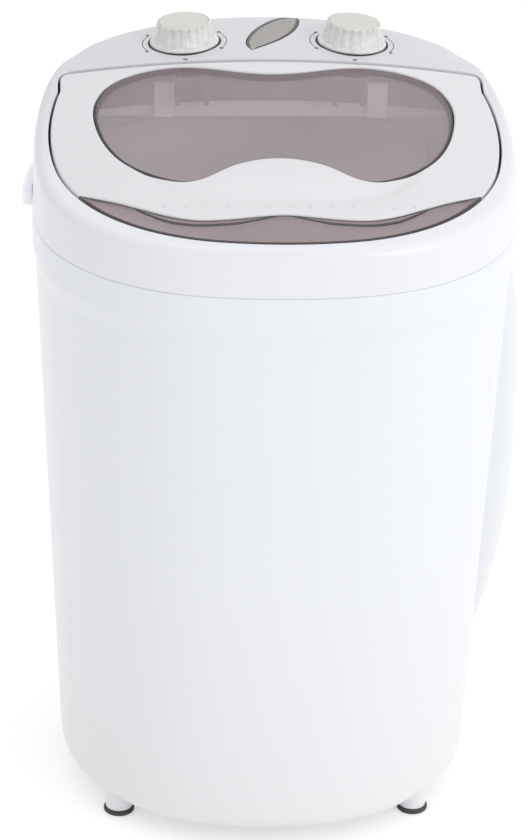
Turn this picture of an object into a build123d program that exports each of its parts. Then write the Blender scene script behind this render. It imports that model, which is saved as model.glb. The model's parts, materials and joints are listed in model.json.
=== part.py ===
from build123d import *
from math import asin, atan, atan2, cos, degrees, hypot, pi, radians, sin, sqrt, tan
import os

# Mini top-loading washing machine. Millimetres, +Z up, front towards -Y.
# The origin is on the ground under the centre of the tub.

# ---------------------------------------------------------------- dimensions
A_SEAM = 181.0            # half width of the tub rim where the top frame sits
Z_SEAM = 475.0            # height of that joint
A_TOP = 178.0             # half width of the top frame at its upper edge
Z_BASE = 15.4             # underside of the tub skirt
A_BASE = 160.0            # half width of the skirt at the bottom
A_NECK = 178.9            # half width of the tub under its rim band
Z_NECK = 437.0
Z_BAND = 450.0            # rim band is straight from here to the seam
R_SKIRT = 15.8            # rounding of the skirt's lower edge
WALL = 3.0
Z_FLOOR = 121.0           # inside face of the tub floor
COLLAR = (34.3, 175.5)    # corner centre and flat-arc set-back of the rim outline
NECK = (29.0, 137.0)
FOOT = (19.0, 80.0)

SLOPE = 0.178             # fall of the lid towards the front
Y_FRONT = -167.0
Z_FRONT = 512.8           # top surface at the lid's front edge, on the centre line
Z_PANEL = 559.5           # top surface of the control panel, on the centre line
R_CROWN = 1094.0          # crown across the top
SKIN = 3.0

LID_A = 166.9             # half width of the lid
LID_C = (18.8, 78.2)
LID_REAR = 82.0           # rear edge of the lid
GAP = 1.8                 # gap round the lid

HINGE_Y = 72.0
HINGE_Z = 545.0
HINGE_X = 60.0
PIN_R = 2.0

KNOB_X = 64.6
KNOB_Y = 119.5
KNOB_TILT = 3.4           # the panel is crowned, so the knobs lean outwards
KNOB_FLANGE_R = 26.6
KNOB_TOP_R = 20.4
KNOB_H = 17.5

CHANNEL_AZ = 20.0         # channel bulge, degrees from +X towards +Y
FOOT_X, FOOT_Y = 115.0, 97.0

SHAFT_R = 5.0
BELT_Z = 50.0             # mid height of the belt
PULLEY_R = 60.0           # belt line radius of the driven pulley
MOTOR_PULLEY_R = 15.0
MOTOR_Y = 96.0

os.makedirs("parts", exist_ok=True)


# ------------------------------------------------------------------- helpers
def outline(half, shape):
    """Rounded square of eight tangent arcs, centred on the origin."""
    c, k = shape
    big = half + k
    rc = big - hypot(c, c + k)
    phi = degrees(atan2(c + k, c))
    low = 90.0 - phi
    with BuildSketch() as face:
        with BuildLine():
            CenterArc((-k, 0), big, -low, 2 * low)
            CenterArc((c, c), rc, low, phi - low)
            CenterArc((0, -k), big, phi, 180 - 2 * phi)
            CenterArc((-c, c), rc, 90 + low, phi - low)
            CenterArc((k, 0), big, 180 - low, 2 * low)
            CenterArc((-c, -c), rc, 180 + low, phi - low)
            CenterArc((0, k), big, 180 + phi, 180 - 2 * phi)
            CenterArc((c, -c), rc, 270 + low, phi - low)
        make_face()
    return face.sketch


def below_slope(drop):
    """Everything under the crowned, sloping lid surface, lowered by drop."""
    lie = degrees(atan(SLOPE))
    base = Plane(origin=(0, Y_FRONT, Z_FRONT - drop), x_dir=(1, 0, 0),
                 z_dir=(0, -cos(radians(lie)), -sin(radians(lie))))
    sag = R_CROWN - sqrt(R_CROWN ** 2 - 230.0 ** 2)
    with BuildPart() as region:
        with BuildSketch(base):
            with BuildLine():
                ThreePointArc((-230, -sag), (0, 0), (230, -sag))
                Polyline((230, -sag), (230, -420), (-230, -420), (-230, -sag))
            make_face()
        extrude(amount=120)
        extrude(to_extrude=region.faces().sort_by(Axis.Y)[-1], amount=420, mode=Mode.ADD)
    return region.part


def below_panel(drop):
    """Everything under the crowned control panel surface, lowered by drop."""
    base = Plane(origin=(0, 0, Z_PANEL - drop), x_dir=(1, 0, 0), z_dir=(0, -1, 0))
    sag = R_CROWN - sqrt(R_CROWN ** 2 - 230.0 ** 2)
    with BuildPart() as region:
        with BuildSketch(base):
            with BuildLine():
                ThreePointArc((-230, -sag), (0, 0), (230, -sag))
                Polyline((230, -sag), (230, -420), (-230, -420), (-230, -sag))
            make_face()
        extrude(amount=260, both=True)
    return region.part


def slope_z(x, y):
    return Z_FRONT + SLOPE * (y - Y_FRONT) - x * x / (2 * R_CROWN)


def panel_z(x):
    return Z_PANEL - x * x / (2 * R_CROWN)


def lid_outline(grow):
    """Plan of the lid, grown by grow: rounded front, straight hinge edge."""
    with BuildSketch() as face:
        add(outline(LID_A + grow, LID_C))
        with Locations((0, LID_REAR + grow + 150)):
            Rectangle(500, 300, mode=Mode.SUBTRACT)
        with Locations((0, 40)):
            Rectangle(2 * (160.0 + grow), 2 * (LID_REAR + grow - 40))
        corners = face.vertices().group_by(Axis.Y)[-1]
        fillet(corners, radius=max(9 + grow, 3))
    return face.sketch


WINDOW_HALF = [(0, -60.8), (12, -62), (22, -64.9), (32.5, -69.4), (42, -75.3), (50, -80.2), (58, -83.6),
               (66, -84.6), (75, -83.0), (86, -77.6), (97, -69.8), (108, -59.5), (117.5, -46.5), (125, -31),
               (130.8, -13), (134.6, 8), (135.2, 25), (132.8, 39), (127, 52.5), (118, 62.5), (106, 69.5),
               (93, 73.8), (80, 75.8), (67, 75.9), (55, 74.2), (45, 71.8), (35, 69.1), (20, 65.4), (0, 63.3)]


def shifted(pts, grow, closed):
    """Points moved square to their line, to its right when it runs anticlockwise."""
    out = []
    n = len(pts)
    for i, (x, y) in enumerate(pts):
        if closed:
            (x0, y0), (x1, y1) = pts[i - 1], pts[(i + 1) % n]
        else:
            (x0, y0), (x1, y1) = pts[max(i - 1, 0)], pts[min(i + 1, n - 1)]
        dx, dy = x1 - x0, y1 - y0
        size = hypot(dx, dy)
        out.append((x + grow * dy / size, y - grow * dx / size))
    return out


def window_outline(grow=0.0):
    pts = [(x, y) for x, y in WINDOW_HALF] + [(-x, y) for x, y in WINDOW_HALF[-2:0:-1]]
    with BuildSketch() as face:
        with BuildLine():
            Spline(*shifted(pts, grow, True), periodic=True)
        make_face()
    return face.sketch


CH_U = (cos(radians(CHANNEL_AZ)), sin(radians(CHANNEL_AZ)), 0)
CH_PLANE = Plane(origin=(0, 0, 0), x_dir=CH_U, z_dir=(CH_U[1], -CH_U[0], 0))
CHANNEL_PROFILE = [(182, 446), (188.5, 418), (194, 385), (197.6, 345), (198.5, 300), (198.5, 255),
                   (197.3, 221), (194.5, 192), (189.5, 163), (182.5, 134), (173.5, 106), (162, 84)]


def channel_block(inset, half, radius, low):
    """The channel bulge as a solid that reaches back into the tub wall."""
    pts = [(r - inset, z - (inset if i > 5 else -inset * 0) ) for i, (r, z) in enumerate(CHANNEL_PROFILE)]
    with BuildPart() as block:
        with BuildSketch(CH_PLANE):
            with BuildLine():
                Spline(*pts)
                Polyline(pts[-1], (135, pts[-1][1]), (135, pts[0][1]), pts[0])
            make_face()
        extrude(amount=half, both=True)
        edges = block.edges().filter_by(GeomType.BSPLINE)
        fillet(edges, radius=radius)
        if low is not None:
            with Locations((0, 0, low - 200)):
                Box(900, 900, 400, mode=Mode.SUBTRACT)
    return block.part


def tub_half(z):
    """Half width and shape of the tub's outside at height z."""
    t = (z - Z_BASE) / (Z_NECK - Z_BASE)
    return (A_BASE + (A_NECK - A_BASE) * t,
            (FOOT[0] + (NECK[0] - FOOT[0]) * t, FOOT[1] + (NECK[1] - FOOT[1]) * t))


def tub_ring(z, inset):
    half, shape = tub_half(z)
    with BuildSketch(Plane.XY.offset(z)) as ring:
        add(outline(half - inset, shape))
    return ring.sketch


def tub_envelope(inset, low, high, radius=0.0):
    """Tapering tub body between two heights, inset from the outside."""
    with BuildPart() as body:
        add(tub_ring(low, inset))
        add(tub_ring(high, inset))
        loft(ruled=True)
        if radius:
            fillet(body.faces().sort_by(Axis.Z)[0].edges(), radius=radius)
    return body.part


LEGS = [(FOOT_X, FOOT_Y), (-FOOT_X, FOOT_Y), (-FOOT_X, -FOOT_Y), (FOOT_X, -FOOT_Y)]
BASE_SCREWS = [(135.5 * cos(radians(a)), 135.5 * sin(radians(a))) for a in (12, 66, 114, 168, 250, 290)]
FRAME_SCREWS = [(sx * 128.5, sy * 128.5) for sx in (-1, 1) for sy in (-1, 1)]
BRACKET_BOLTS = [(-50, 66), (50, 66), (-50, 126), (50, 126)]
DRAIN = (-84.0, 84.0)
Z_DRAIN = 84.0
Z_GLAND = 40.0
COVER_POSTS = [(-100, 145, 553.0), (100, 145, 553.0), (-138, 104, 549.0), (138, 104, 549.0)]

# ----------------------------------------------------- outer tub with skirt
with BuildPart() as tub_outside:
    add(tub_envelope(0, Z_BASE, Z_NECK, R_SKIRT))
    with BuildSketch(Plane.XY.offset(Z_NECK)):
        add(outline(A_NECK, NECK))
    with BuildSketch(Plane.XY.offset(Z_BAND)):
        add(outline(A_SEAM, COLLAR))
    loft(ruled=True)
    with BuildSketch(Plane.XY.offset(Z_BAND)):
        add(outline(A_SEAM, COLLAR))
    extrude(amount=Z_SEAM - Z_BAND)

with BuildPart() as tub_body:
    add(tub_outside.part)
    add(channel_block(0, 47, 22, None))
    # wash space
    add(tub_envelope(WALL, Z_FLOOR, Z_NECK, 16.0), mode=Mode.SUBTRACT)
    with BuildSketch(Plane.XY.offset(Z_NECK)):
        add(outline(A_NECK - WALL, NECK))
    with BuildSketch(Plane.XY.offset(Z_BAND)):
        add(outline(A_SEAM - 4.0, COLLAR))
    loft(ruled=True, mode=Mode.SUBTRACT)
    with BuildSketch(Plane.XY.offset(Z_BAND)):
        add(outline(A_SEAM - 4.0, COLLAR))
    extrude(amount=Z_SEAM - Z_BAND + 1, mode=Mode.SUBTRACT)
    add(channel_block(3.0, 44, 19, Z_FLOOR + 4), mode=Mode.SUBTRACT)
    # motor space under the floor
    add(tub_envelope(WALL, Z_BASE + 3.0, Z_FLOOR - 3.0, 12.0), mode=Mode.SUBTRACT)
    with BuildSketch(Plane.XY.offset(Z_BASE - 1)):
        add(outline(128, FOOT))
    extrude(amount=8, mode=Mode.SUBTRACT)
    # leg posts
    with BuildSketch(Plane.XY.offset(4.0)):
        with Locations(*LEGS):
            Circle(10.5)
    extrude(amount=38.0)
    with BuildSketch(Plane.XY.offset(4.0)):
        with Locations(*LEGS):
            Circle(4.0)
    extrude(amount=22.0, mode=Mode.SUBTRACT)
    # screw posts for the base cover
    with BuildSketch(Plane.XY.offset(Z_BASE + 2.0)):
        with Locations(*BASE_SCREWS):
            Circle(5.0)
    extrude(amount=14.0)
    with BuildSketch(Plane.XY.offset(Z_BASE - 0.5)):
        with Locations(*BASE_SCREWS):
            Circle(1.7)
    extrude(amount=14.0, mode=Mode.SUBTRACT)
    # posts for the motor bracket
    with BuildSketch(Plane.XY.offset(112.0)):
        with Locations(*BRACKET_BOLTS):
            Circle(6.5)
    extrude(amount=7.0)
    with BuildSketch(Plane.XY.offset(111.5)):
        with Locations(*BRACKET_BOLTS):
            Circle(2.1)
    extrude(amount=7.5, mode=Mode.SUBTRACT)
    # seat of the bearing housing, with four screw holes
    with BuildSketch(Plane.XY.offset(117.0)):
        Circle(15.1)
        with PolarLocations(28, 4, start_angle=45):
            Circle(2.1)
    extrude(amount=6.0, mode=Mode.SUBTRACT)
    # drain hole and the outlet through the skirt
    with BuildSketch(Plane.XY.offset(117.0)):
        with Locations(DRAIN):
            Circle(9.0)
    extrude(amount=6.0, mode=Mode.SUBTRACT)
    with BuildSketch(Plane.XZ.offset(-100)):
        with Locations((DRAIN[0], Z_DRAIN)):
            Circle(11.3)
    extrude(amount=-80, mode=Mode.SUBTRACT)
    # wire passage and cord hole at the back
    with Locations((0, 164, 90)):
        Box(20, 30, 12, mode=Mode.SUBTRACT)
    with BuildSketch(Plane.XZ.offset(-150)):
        with Locations((0, Z_GLAND)):
            Circle(6.6)
    extrude(amount=-20, mode=Mode.SUBTRACT)
    # inner corner posts for the top frame's screws
    with BuildSketch(Plane.XY.offset(451.0)):
        with Locations(*FRAME_SCREWS):
            Circle(7.0)
    extrude(amount=21.0)
    with BuildSketch(Plane.XY.offset(450.0)):
        with Locations(*FRAME_SCREWS):
            Circle(2.1)
    extrude(amount=26.6, mode=Mode.SUBTRACT)
tub_body.part.label = "tub_body"
export_step(tub_body.part, "parts/tub_body.step")

# ------------------------------------------------------------ top frame
UNDER_LID = below_slope(0.0)
UNDER_PANEL = below_panel(0.0)


def prism(face, low, high, mode=Mode.ADD):
    """Straight upright block on a plan outline, in the active part."""
    extrude(to_extrude=face.moved(Location((0, 0, low))), amount=high - low, mode=mode)


with BuildPart() as frame_outside:
    with BuildSketch(Plane.XY.offset(Z_SEAM)):
        add(outline(A_SEAM, COLLAR))
    with BuildSketch(Plane.XY.offset(570.0)):
        add(outline(A_TOP - 0.6, COLLAR))
    loft(ruled=True)
    add(UNDER_LID, mode=Mode.INTERSECT)
    add(UNDER_PANEL, mode=Mode.INTERSECT)
    crease = [e for e in frame_outside.edges() if abs(e.center().X) < 5 and abs(e.center().Y - 95) < 8]
    fillet(crease, radius=80.0)
    rim = [e for e in frame_outside.edges() if e.center().Z > 500 and
           hypot(e.center().X, e.center().Y) > 150]
    fillet(rim, radius=9.0)

with BuildPart() as frame_inside:
    with BuildSketch(Plane.XY.offset(Z_SEAM - 1)):
        add(outline(A_SEAM - WALL, COLLAR))
    with BuildSketch(Plane.XY.offset(570.0)):
        add(outline(A_TOP - 0.6 - WALL, COLLAR))
    loft(ruled=True)
    add(below_slope(SKIN), mode=Mode.INTERSECT)
    add(below_panel(SKIN), mode=Mode.INTERSECT)
    crease = [e for e in frame_inside.edges() if abs(e.center().X) < 5 and abs(e.center().Y - 95) < 8]
    fillet(crease, radius=80.0)
    rim = [e for e in frame_inside.edges() if e.center().Z > 500 and
           hypot(e.center().X, e.center().Y) > 150]
    fillet(rim, radius=6.0)

# slab under the lid that carries the well, its ledge and the mouth
with BuildPart() as lid_well:
    prism(lid_outline(GAP + 2.6), 440, 590)
    add(UNDER_LID, mode=Mode.INTERSECT)
    add(below_slope(17.0), mode=Mode.SUBTRACT)

# wall behind the hinge, hanging from the panel's skin
with BuildPart() as hinge_wall:
    with Locations((0, 88.3, 500)):
        Box(2 * 158.0, 2.6, 200)
    add(below_slope(1.0), mode=Mode.INTERSECT)
    add(below_slope(36.0), mode=Mode.SUBTRACT)

with BuildPart() as mouth:
    with Locations((0, 66.0, 515)):
        Box(2 * 150.0, 42.0, 170)
    add(below_slope(SKIN), mode=Mode.INTERSECT)
    prism(lid_outline(-13.0), 430, 600)

with BuildPart() as well_cut:
    prism(lid_outline(GAP), 440, 600)
    add(below_slope(14.0), mode=Mode.SUBTRACT)

KNOBS = [(-KNOB_X, -KNOB_TILT), (KNOB_X, KNOB_TILT)]


def knob_plane(x, tilt, lift=0.0):
    """Plane square to a knob's axis, lift above the panel."""
    n = (sin(radians(tilt)), 0, cos(radians(tilt)))
    return Plane(origin=(x + n[0] * lift, KNOB_Y, panel_z(x) + n[2] * lift),
                 x_dir=(n[2], 0, -n[0]), z_dir=n)


LEAF_LEFT = [(-13.6, 96.6), (-17.2, 105.5), (-17.4, 117.5), (-14.0, 132), (-7.0, 148), (3.5, 163.0), (13.5, 170.2), (24.6, 170.8)]
LEAF_RIGHT = [(24.6, 170.8), (26.4, 163.0), (24.4, 149.5), (19.6, 136), (10.4, 120.8), (-2.4, 106.8), (-13.6, 96.6)]


HANDLE_SCREW_Y = (16.0, 33.0)
HANDLE_SCREW_Z = 481.2


def handle_bolt(sx, y, radius, start, end):
    """Rod square to the frame's side wall, measured from its inside face."""
    half = A_SEAM - WALL + (A_TOP - 0.6 - A_SEAM) * (HANDLE_SCREW_Z - Z_SEAM) / 95.0
    c, k = COLLAR
    if y < 50:
        n = asin(y / (half + k))
        x = -k + (half + k) * cos(n)
    else:
        rc = half + k - hypot(c, c + k)
        n = asin((y - c) / rc)
        x = c + rc * cos(n)
    d = (sx * cos(n), sin(n), 0)
    with BuildPart() as rod:
        with BuildSketch(Plane(origin=(sx * x + d[0] * start, y + d[1] * start, HANDLE_SCREW_Z), x_dir=(0, 0, 1), z_dir=d)):
            Circle(radius)
        extrude(amount=end - start)
    return rod.part


def leaf(grow=0.0):
    """Plan of the indicator window; grow moves its edge out all round."""
    (x0, y0), (x1, y1) = LEAF_LEFT[0], LEAF_LEFT[-1]
    far = hypot(x1 - x0, y1 - y0)
    ux, uy = (x1 - x0) / far * 1.25 * grow, (y1 - y0) / far * 1.25 * grow
    left = [(x0 - ux, y0 - uy)] + shifted(LEAF_LEFT, -grow, False)[1:-1] + [(x1 + ux, y1 + uy)]
    right = [(x1 + ux, y1 + uy)] + shifted(LEAF_RIGHT, -grow, False)[1:-1] + [(x0 - ux, y0 - uy)]
    with BuildSketch() as face:
        with BuildLine():
            Spline(*left)
            Spline(*right)
        make_face()
    return face.sketch


with BuildPart() as top_frame:
    add(frame_outside.part)
    add(frame_inside.part, mode=Mode.SUBTRACT)
    add(lid_well.part)
    add(well_cut.part, mode=Mode.SUBTRACT)
    add(mouth.part, mode=Mode.SUBTRACT)
    add(hinge_wall.part)
    # spigot that stands inside the tub's rim, clear of the corner posts
    with BuildSketch(Plane.XY.offset(468.0)):
        add(outline(A_SEAM - 4.4, COLLAR))
        add(outline(A_SEAM - 7.4, COLLAR), mode=Mode.SUBTRACT)
        with Locations(*FRAME_SCREWS):
            Circle(8.0, mode=Mode.SUBTRACT)
        with Locations((172, 62), (172, 30)):
            Rectangle(30, 45, mode=Mode.SUBTRACT)
    extrude(amount=9.0)
    with BuildSketch(Plane.XY.offset(Z_SEAM)):
        add(outline(A_SEAM - 2.0, COLLAR))
        add(outline(A_SEAM - 7.4, COLLAR), mode=Mode.SUBTRACT)
    extrude(amount=2.5)
    # corner tabs for the screws into the tub
    with BuildSketch(Plane.XY.offset(472.2)):
        with Locations(*FRAME_SCREWS):
            Circle(7.0)
        add(outline(A_SEAM - 4.4, COLLAR), mode=Mode.INTERSECT)
    extrude(amount=6.0)
    with BuildSketch(Plane.XY.offset(471.0)):
        with Locations(*FRAME_SCREWS):
            Circle(2.1)
    extrude(amount=8.0, mode=Mode.SUBTRACT)
    # knob recesses, backed by bosses under the panel
    for x, tilt in KNOBS:
        with BuildSketch(knob_plane(x, tilt, -5.6)):
            Circle(KNOB_FLANGE_R + 4.0)
        extrude(amount=3.4)
        with BuildSketch(knob_plane(x, tilt, -2.0)):
            Circle(KNOB_FLANGE_R + 1.2)
        extrude(amount=8.0, mode=Mode.SUBTRACT)
        with BuildSketch(knob_plane(x, tilt, -8.0)):
            Circle(4.2)
            with PolarLocations(14.0, 2, start_angle=0):
                Circle(1.8)
        extrude(amount=8.0, mode=Mode.SUBTRACT)
    # indicator opening
    prism(leaf(0.0), 550.0, 565.0, mode=Mode.SUBTRACT)
    # wire passage at the back
    with Locations((0, 172, 501)):
        Box(20, 24, 9, mode=Mode.SUBTRACT)
    # ears for the lid's hinge pins, carried from the hinge wall
    for sx in (-1, 1):
        for dx in (-11.0, 11.0):
            with BuildSketch(Plane.YZ.offset(sx * HINGE_X + dx - 2.0)):
                with Locations((HINGE_Y, HINGE_Z)):
                    Circle(3.4)
                with BuildLine():
                    Polyline((HINGE_Y - 3.4, HINGE_Z), (HINGE_Y + 1.6, HINGE_Z), (HINGE_Y + 1.6, 531.0), (87.4, 531.0),
                             (87.4, 524.5), (68.6, 524.5), (HINGE_Y - 3.4, 529.0), (HINGE_Y - 3.4, HINGE_Z))
                make_face()
                with Locations((HINGE_Y, HINGE_Z)):
                    Circle(PIN_R + 0.02, mode=Mode.SUBTRACT)
            extrude(amount=4.0)
    # two pillars on the hinge wall, in front of the control box
    for x in (-80.5, 83.0):
        with Locations((x, 86.1, 523.0)):
            Box(16.0, 2.6, 28.0)
    # posts for the control box cover
    for x, y, top in COVER_POSTS:
        with BuildSketch(Plane.XY.offset(510.4)):
            with Locations((x, y)):
                Circle(5.0)
        extrude(amount=top - 510.4)
        with BuildSketch(Plane.XY.offset(510.0)):
            with Locations((x, y)):
                Circle(1.52)
        extrude(amount=15.0, mode=Mode.SUBTRACT)
    # holes for the handle screws
    for sx in (-1, 1):
        for y in HANDLE_SCREW_Y:
            add(handle_bolt(sx, y, 1.8, -4.0, 6.0), mode=Mode.SUBTRACT)
top_frame.part.label = "top_frame"
export_step(top_frame.part, "parts/top_frame.step")

# --------------------------------------------- side handles of the top frame
HANDLE_LOW = 468.3
HANDLE_HIGH = 484.2
HANDLE_PLAN = [(168.0, 5.0), (183.0, 5.3), (187.2, 6.6), (188.9, 10.5), (188.5, 18.0), (186.8, 30.0), (182.9, 47.0),
               (177.0, 59.0), (168.0, 72.0)]


def handle(sx):
    """Lifting lug: full and rounded in front, running out into the side wall behind."""
    with BuildPart() as lug:
        with BuildSketch(Plane.XY.offset(HANDLE_LOW)):
            with BuildLine():
                Spline(*[(sx * x, y) for x, y in HANDLE_PLAN])
                Line((sx * HANDLE_PLAN[-1][0], HANDLE_PLAN[-1][1]), (sx * HANDLE_PLAN[0][0], HANDLE_PLAN[0][1]))
            make_face()
        extrude(amount=HANDLE_HIGH - HANDLE_LOW)
        top = lug.faces().sort_by(Axis.Z)[-1]
        fillet(top.edges().filter_by(GeomType.BSPLINE), radius=3.5)
        bottom = lug.faces().sort_by(Axis.Z)[0]
        fillet(bottom.edges().filter_by(GeomType.BSPLINE), radius=2.5)
        # seat against the rim band and the frame, 0.1 clear of both
        with BuildSketch(Plane.XY.offset(455.0)):
            add(outline(A_SEAM + 0.1, COLLAR))
        extrude(amount=20.0, mode=Mode.SUBTRACT)
        with BuildSketch(Plane.XY.offset(Z_SEAM)):
            add(outline(A_SEAM + 0.1, COLLAR))
        with BuildSketch(Plane.XY.offset(570.0)):
            add(outline(A_TOP - 0.5, COLLAR))
        loft(ruled=True, mode=Mode.SUBTRACT)
        for y in HANDLE_SCREW_Y:
            add(handle_bolt(sx, y, 1.62, 2.0, 6.8), mode=Mode.SUBTRACT)
    return lug.part


with BuildPart() as left_handle:
    add(handle(-1))
left_handle.part.label = "left_handle"
export_step(left_handle.part, "parts/left_handle.step")

with BuildPart() as right_handle:
    add(handle(1))
right_handle.part.label = "right_handle"
export_step(right_handle.part, "parts/right_handle.step")

with BuildPart() as handle_screws:
    for sx in (-1, 1):
        for y in HANDLE_SCREW_Y:
            add(handle_bolt(sx, y, 1.6, -0.5, 6.2))
            add(handle_bolt(sx, y, 3.4, -2.4, -0.25))
handle_screws.part.label = "handle_screws"
export_step(handle_screws.part, "parts/handle_screws.step")

# ------------------------------------------------------- control box cover
CB_Y = 90.2
CB_LOW = 508.0
with BuildPart() as control_box_cover:
    # floor of the box
    with BuildSketch(Plane.XY.offset(CB_LOW)):
        add(outline(A_SEAM - 6.2, COLLAR))
        with Locations((0, CB_Y - 200)):
            Rectangle(500, 400, mode=Mode.SUBTRACT)
    extrude(amount=2.2)
    # front wall, lapped behind the frame's hinge wall
    with Locations((0, CB_Y + 1.1, 523.0)):
        Box(308.0, 2.2, 30.0)
    with BuildSketch(Plane.XY.offset(CB_LOW - 1)):
        with Locations(*[(x, y) for x, y, top in COVER_POSTS]):
            Circle(1.7)
        with Locations((0, 150)):
            Rectangle(16, 10)
    extrude(amount=4, mode=Mode.SUBTRACT)
control_box_cover.part.label = "control_box_cover"
export_step(control_box_cover.part, "parts/control_box_cover.step")

with BuildPart() as control_cover_screws:
    for x, y, top in COVER_POSTS:
        with BuildSketch(Plane.XY.offset(CB_LOW - 2.4)):
            with Locations((x, y)):
                Circle(3.2)
        extrude(amount=2.35)
        with BuildSketch(Plane.XY.offset(CB_LOW - 0.05)):
            with Locations((x, y)):
                Circle(1.5)
        extrude(amount=15.0)
control_cover_screws.part.label = "control_cover_screws"
export_step(control_cover_screws.part, "parts/control_cover_screws.step")

# ------------------------------------------------------------------- lid
GRIP_EDGE = [(0, -129.8), (18, -131.6), (38, -134.2), (60, -134.1), (80, -127.5), (102, -114.6), (118, -104.4),
             (134, -95.6), (152, -88.0)]


def grip_region(grow=0.0):
    """Plan of everything in front of the grip's rear edge, moved back by grow."""
    half = [(x, y + grow) for x, y in GRIP_EDGE]
    pts = [(-x, y) for x, y in half[:0:-1]] + half
    with BuildSketch() as face:
        with BuildLine():
            Spline(*pts)
            Polyline(pts[-1], (152, -230), (-152, -230), pts[0])
        make_face()
    return face.sketch


def below_bevel(y):
    """Everything under a crowned 45 degree bevel that leaves the lid surface at y."""
    base = Plane(origin=(0, y, slope_z(0, y)), x_dir=(1, 0, 0),
                 z_dir=(0, -cos(radians(45)), sin(radians(45))))
    big = R_CROWN / cos(radians(45))
    sag = big - sqrt(big ** 2 - 230.0 ** 2)
    with BuildPart() as region:
        with BuildSketch(base):
            with BuildLine():
                ThreePointArc((-230, -sag), (0, 0), (230, -sag))
                Polyline((230, -sag), (230, -420), (-230, -420), (-230, -sag))
            make_face()
        extrude(amount=300, both=True)
    return region.part


DROP = {d: below_slope(d) for d in (0.8, 1.0, 3.0, 3.05, 3.6, 5.0, 7.0, 9.0, 9.1, 14.0)}


def hinge_tube(radius, x0, x1):
    with BuildPart() as tube:
        with BuildSketch(Plane.YZ.offset(x0)):
            with Locations((HINGE_Y, HINGE_Z)):
                Circle(radius)
        extrude(amount=x1 - x0)
    return tube.part


with BuildPart() as lid_rim:
    prism(lid_outline(0.0), 470, 590)
    prism(lid_outline(-2.6), 470, 590, mode=Mode.SUBTRACT)
    add(UNDER_LID, mode=Mode.INTERSECT)
    add(DROP[9.0], mode=Mode.SUBTRACT)

with BuildPart() as lid_frame:
    prism(lid_outline(0.0), 470, 590)
    add(UNDER_LID, mode=Mode.INTERSECT)
    add(DROP[3.0], mode=Mode.SUBTRACT)
    add(lid_rim.part)
    # shallower rim at the hinge, with notches for the ears
    with BuildPart(mode=Mode.PRIVATE) as rear_rim:
        with Locations((0, 67, 540)):
            Box(400, 34, 120)
        add(DROP[7.0], mode=Mode.INTERSECT)
    add(rear_rim.part, mode=Mode.SUBTRACT)
    with BuildPart(mode=Mode.PRIVATE) as notches:
        with Locations(*[(sx * HINGE_X + dx, 76, 540) for sx in (-1, 1) for dx in (-11.2, 11.2)]):
            Box(6.6, 20, 120)
        add(DROP[3.0], mode=Mode.INTERSECT)
    add(notches.part, mode=Mode.SUBTRACT)
    prism(window_outline(0.0), 470, 590, mode=Mode.SUBTRACT)
    prism(grip_region(0.0), 470, 590, mode=Mode.SUBTRACT)
    add(below_bevel(LID_REAR - 3.0), mode=Mode.INTERSECT)
    # knuckles on arms from the strip behind the window
    for sx in (-1, 1):
        with BuildSketch(Plane.YZ.offset(sx * HINGE_X - 8.4)):
            with Locations((HINGE_Y, HINGE_Z)):
                Circle(4.2)
            with BuildLine():
                Polyline((HINGE_Y, HINGE_Z + 4.1), (76.9, 549.1), (76.9, 552.0), (80.6, 552.0), (80.6, 544.0),
                         (77.0, 540.8), (HINGE_Y, HINGE_Z - 4.2), (HINGE_Y, HINGE_Z + 4.1))
            make_face()
        extrude(amount=16.8)
        add(hinge_tube(PIN_R + 0.05, sx * HINGE_X - 10, sx * HINGE_X + 10), mode=Mode.SUBTRACT)
lid_frame.part.label = "lid_frame"
export_step(lid_frame.part, "parts/lid_frame.step")

with BuildPart() as window_plug:
    prism(window_outline(-0.2), 470, 590)
    add(DROP[1.0], mode=Mode.INTERSECT)
    add(DROP[3.6], mode=Mode.SUBTRACT)

# the flange under the lid's skin, cut away over the hinges
with BuildPart() as window_flange:
    prism(window_outline(2.9), 470, 590)
    add(DROP[3.05], mode=Mode.INTERSECT)
    add(DROP[5.0], mode=Mode.SUBTRACT)
    with Locations(*[(sx * HINGE_X, 82, 540) for sx in (-1, 1)]):
        Box(30, 38, 120, mode=Mode.SUBTRACT)

with BuildPart() as lid_window:
    add(window_plug.part)
    add(window_flange.part)
lid_window.part.label = "lid_window"
export_step(lid_window.part, "parts/lid_window.step")

with BuildPart() as lid_grip:
    with BuildPart(mode=Mode.PRIVATE) as crescent:
        prism(lid_outline(0.0), 470, 590)
        add(DROP[0.8], mode=Mode.INTERSECT)
        add(DROP[3.6], mode=Mode.SUBTRACT)
        prism(grip_region(-0.2), 470, 590, mode=Mode.INTERSECT)
    with BuildPart(mode=Mode.PRIVATE) as lap:
        prism(lid_outline(-2.8), 470, 590)
        add(DROP[3.05], mode=Mode.INTERSECT)
        add(DROP[5.0], mode=Mode.SUBTRACT)
        prism(grip_region(5.0), 470, 590, mode=Mode.INTERSECT)
    with BuildPart(mode=Mode.PRIVATE) as lip:
        add(lid_rim.part)
        add(DROP[0.8], mode=Mode.INTERSECT)
        prism(grip_region(-0.2), 470, 590, mode=Mode.INTERSECT)
    add(crescent.part)
    add(lap.part)
    add(lip.part)
lid_grip.part.label = "lid_grip"
export_step(lid_grip.part, "parts/lid_grip.step")

with BuildPart() as lid_bumpers:
    with BuildSketch(Plane.XY.offset(480)):
        with Locations((-156.4, -60), (156.4, -60), (-103.5, -135), (103.5, -135)):
            Circle(3.5)
    extrude(amount=80)
    add(DROP[9.1], mode=Mode.INTERSECT)
    add(DROP[14.0], mode=Mode.SUBTRACT)
lid_bumpers.part.label = "lid_bumpers"
export_step(lid_bumpers.part, "parts/lid_bumpers.step")

with BuildPart() as hinge_pins:
    for sx in (-1, 1):
        add(hinge_tube(PIN_R, sx * HINGE_X - 13.4, sx * HINGE_X + 13.4))
hinge_pins.part.label = "hinge_pins"
export_step(hinge_pins.part, "parts/hinge_pins.step")


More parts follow.
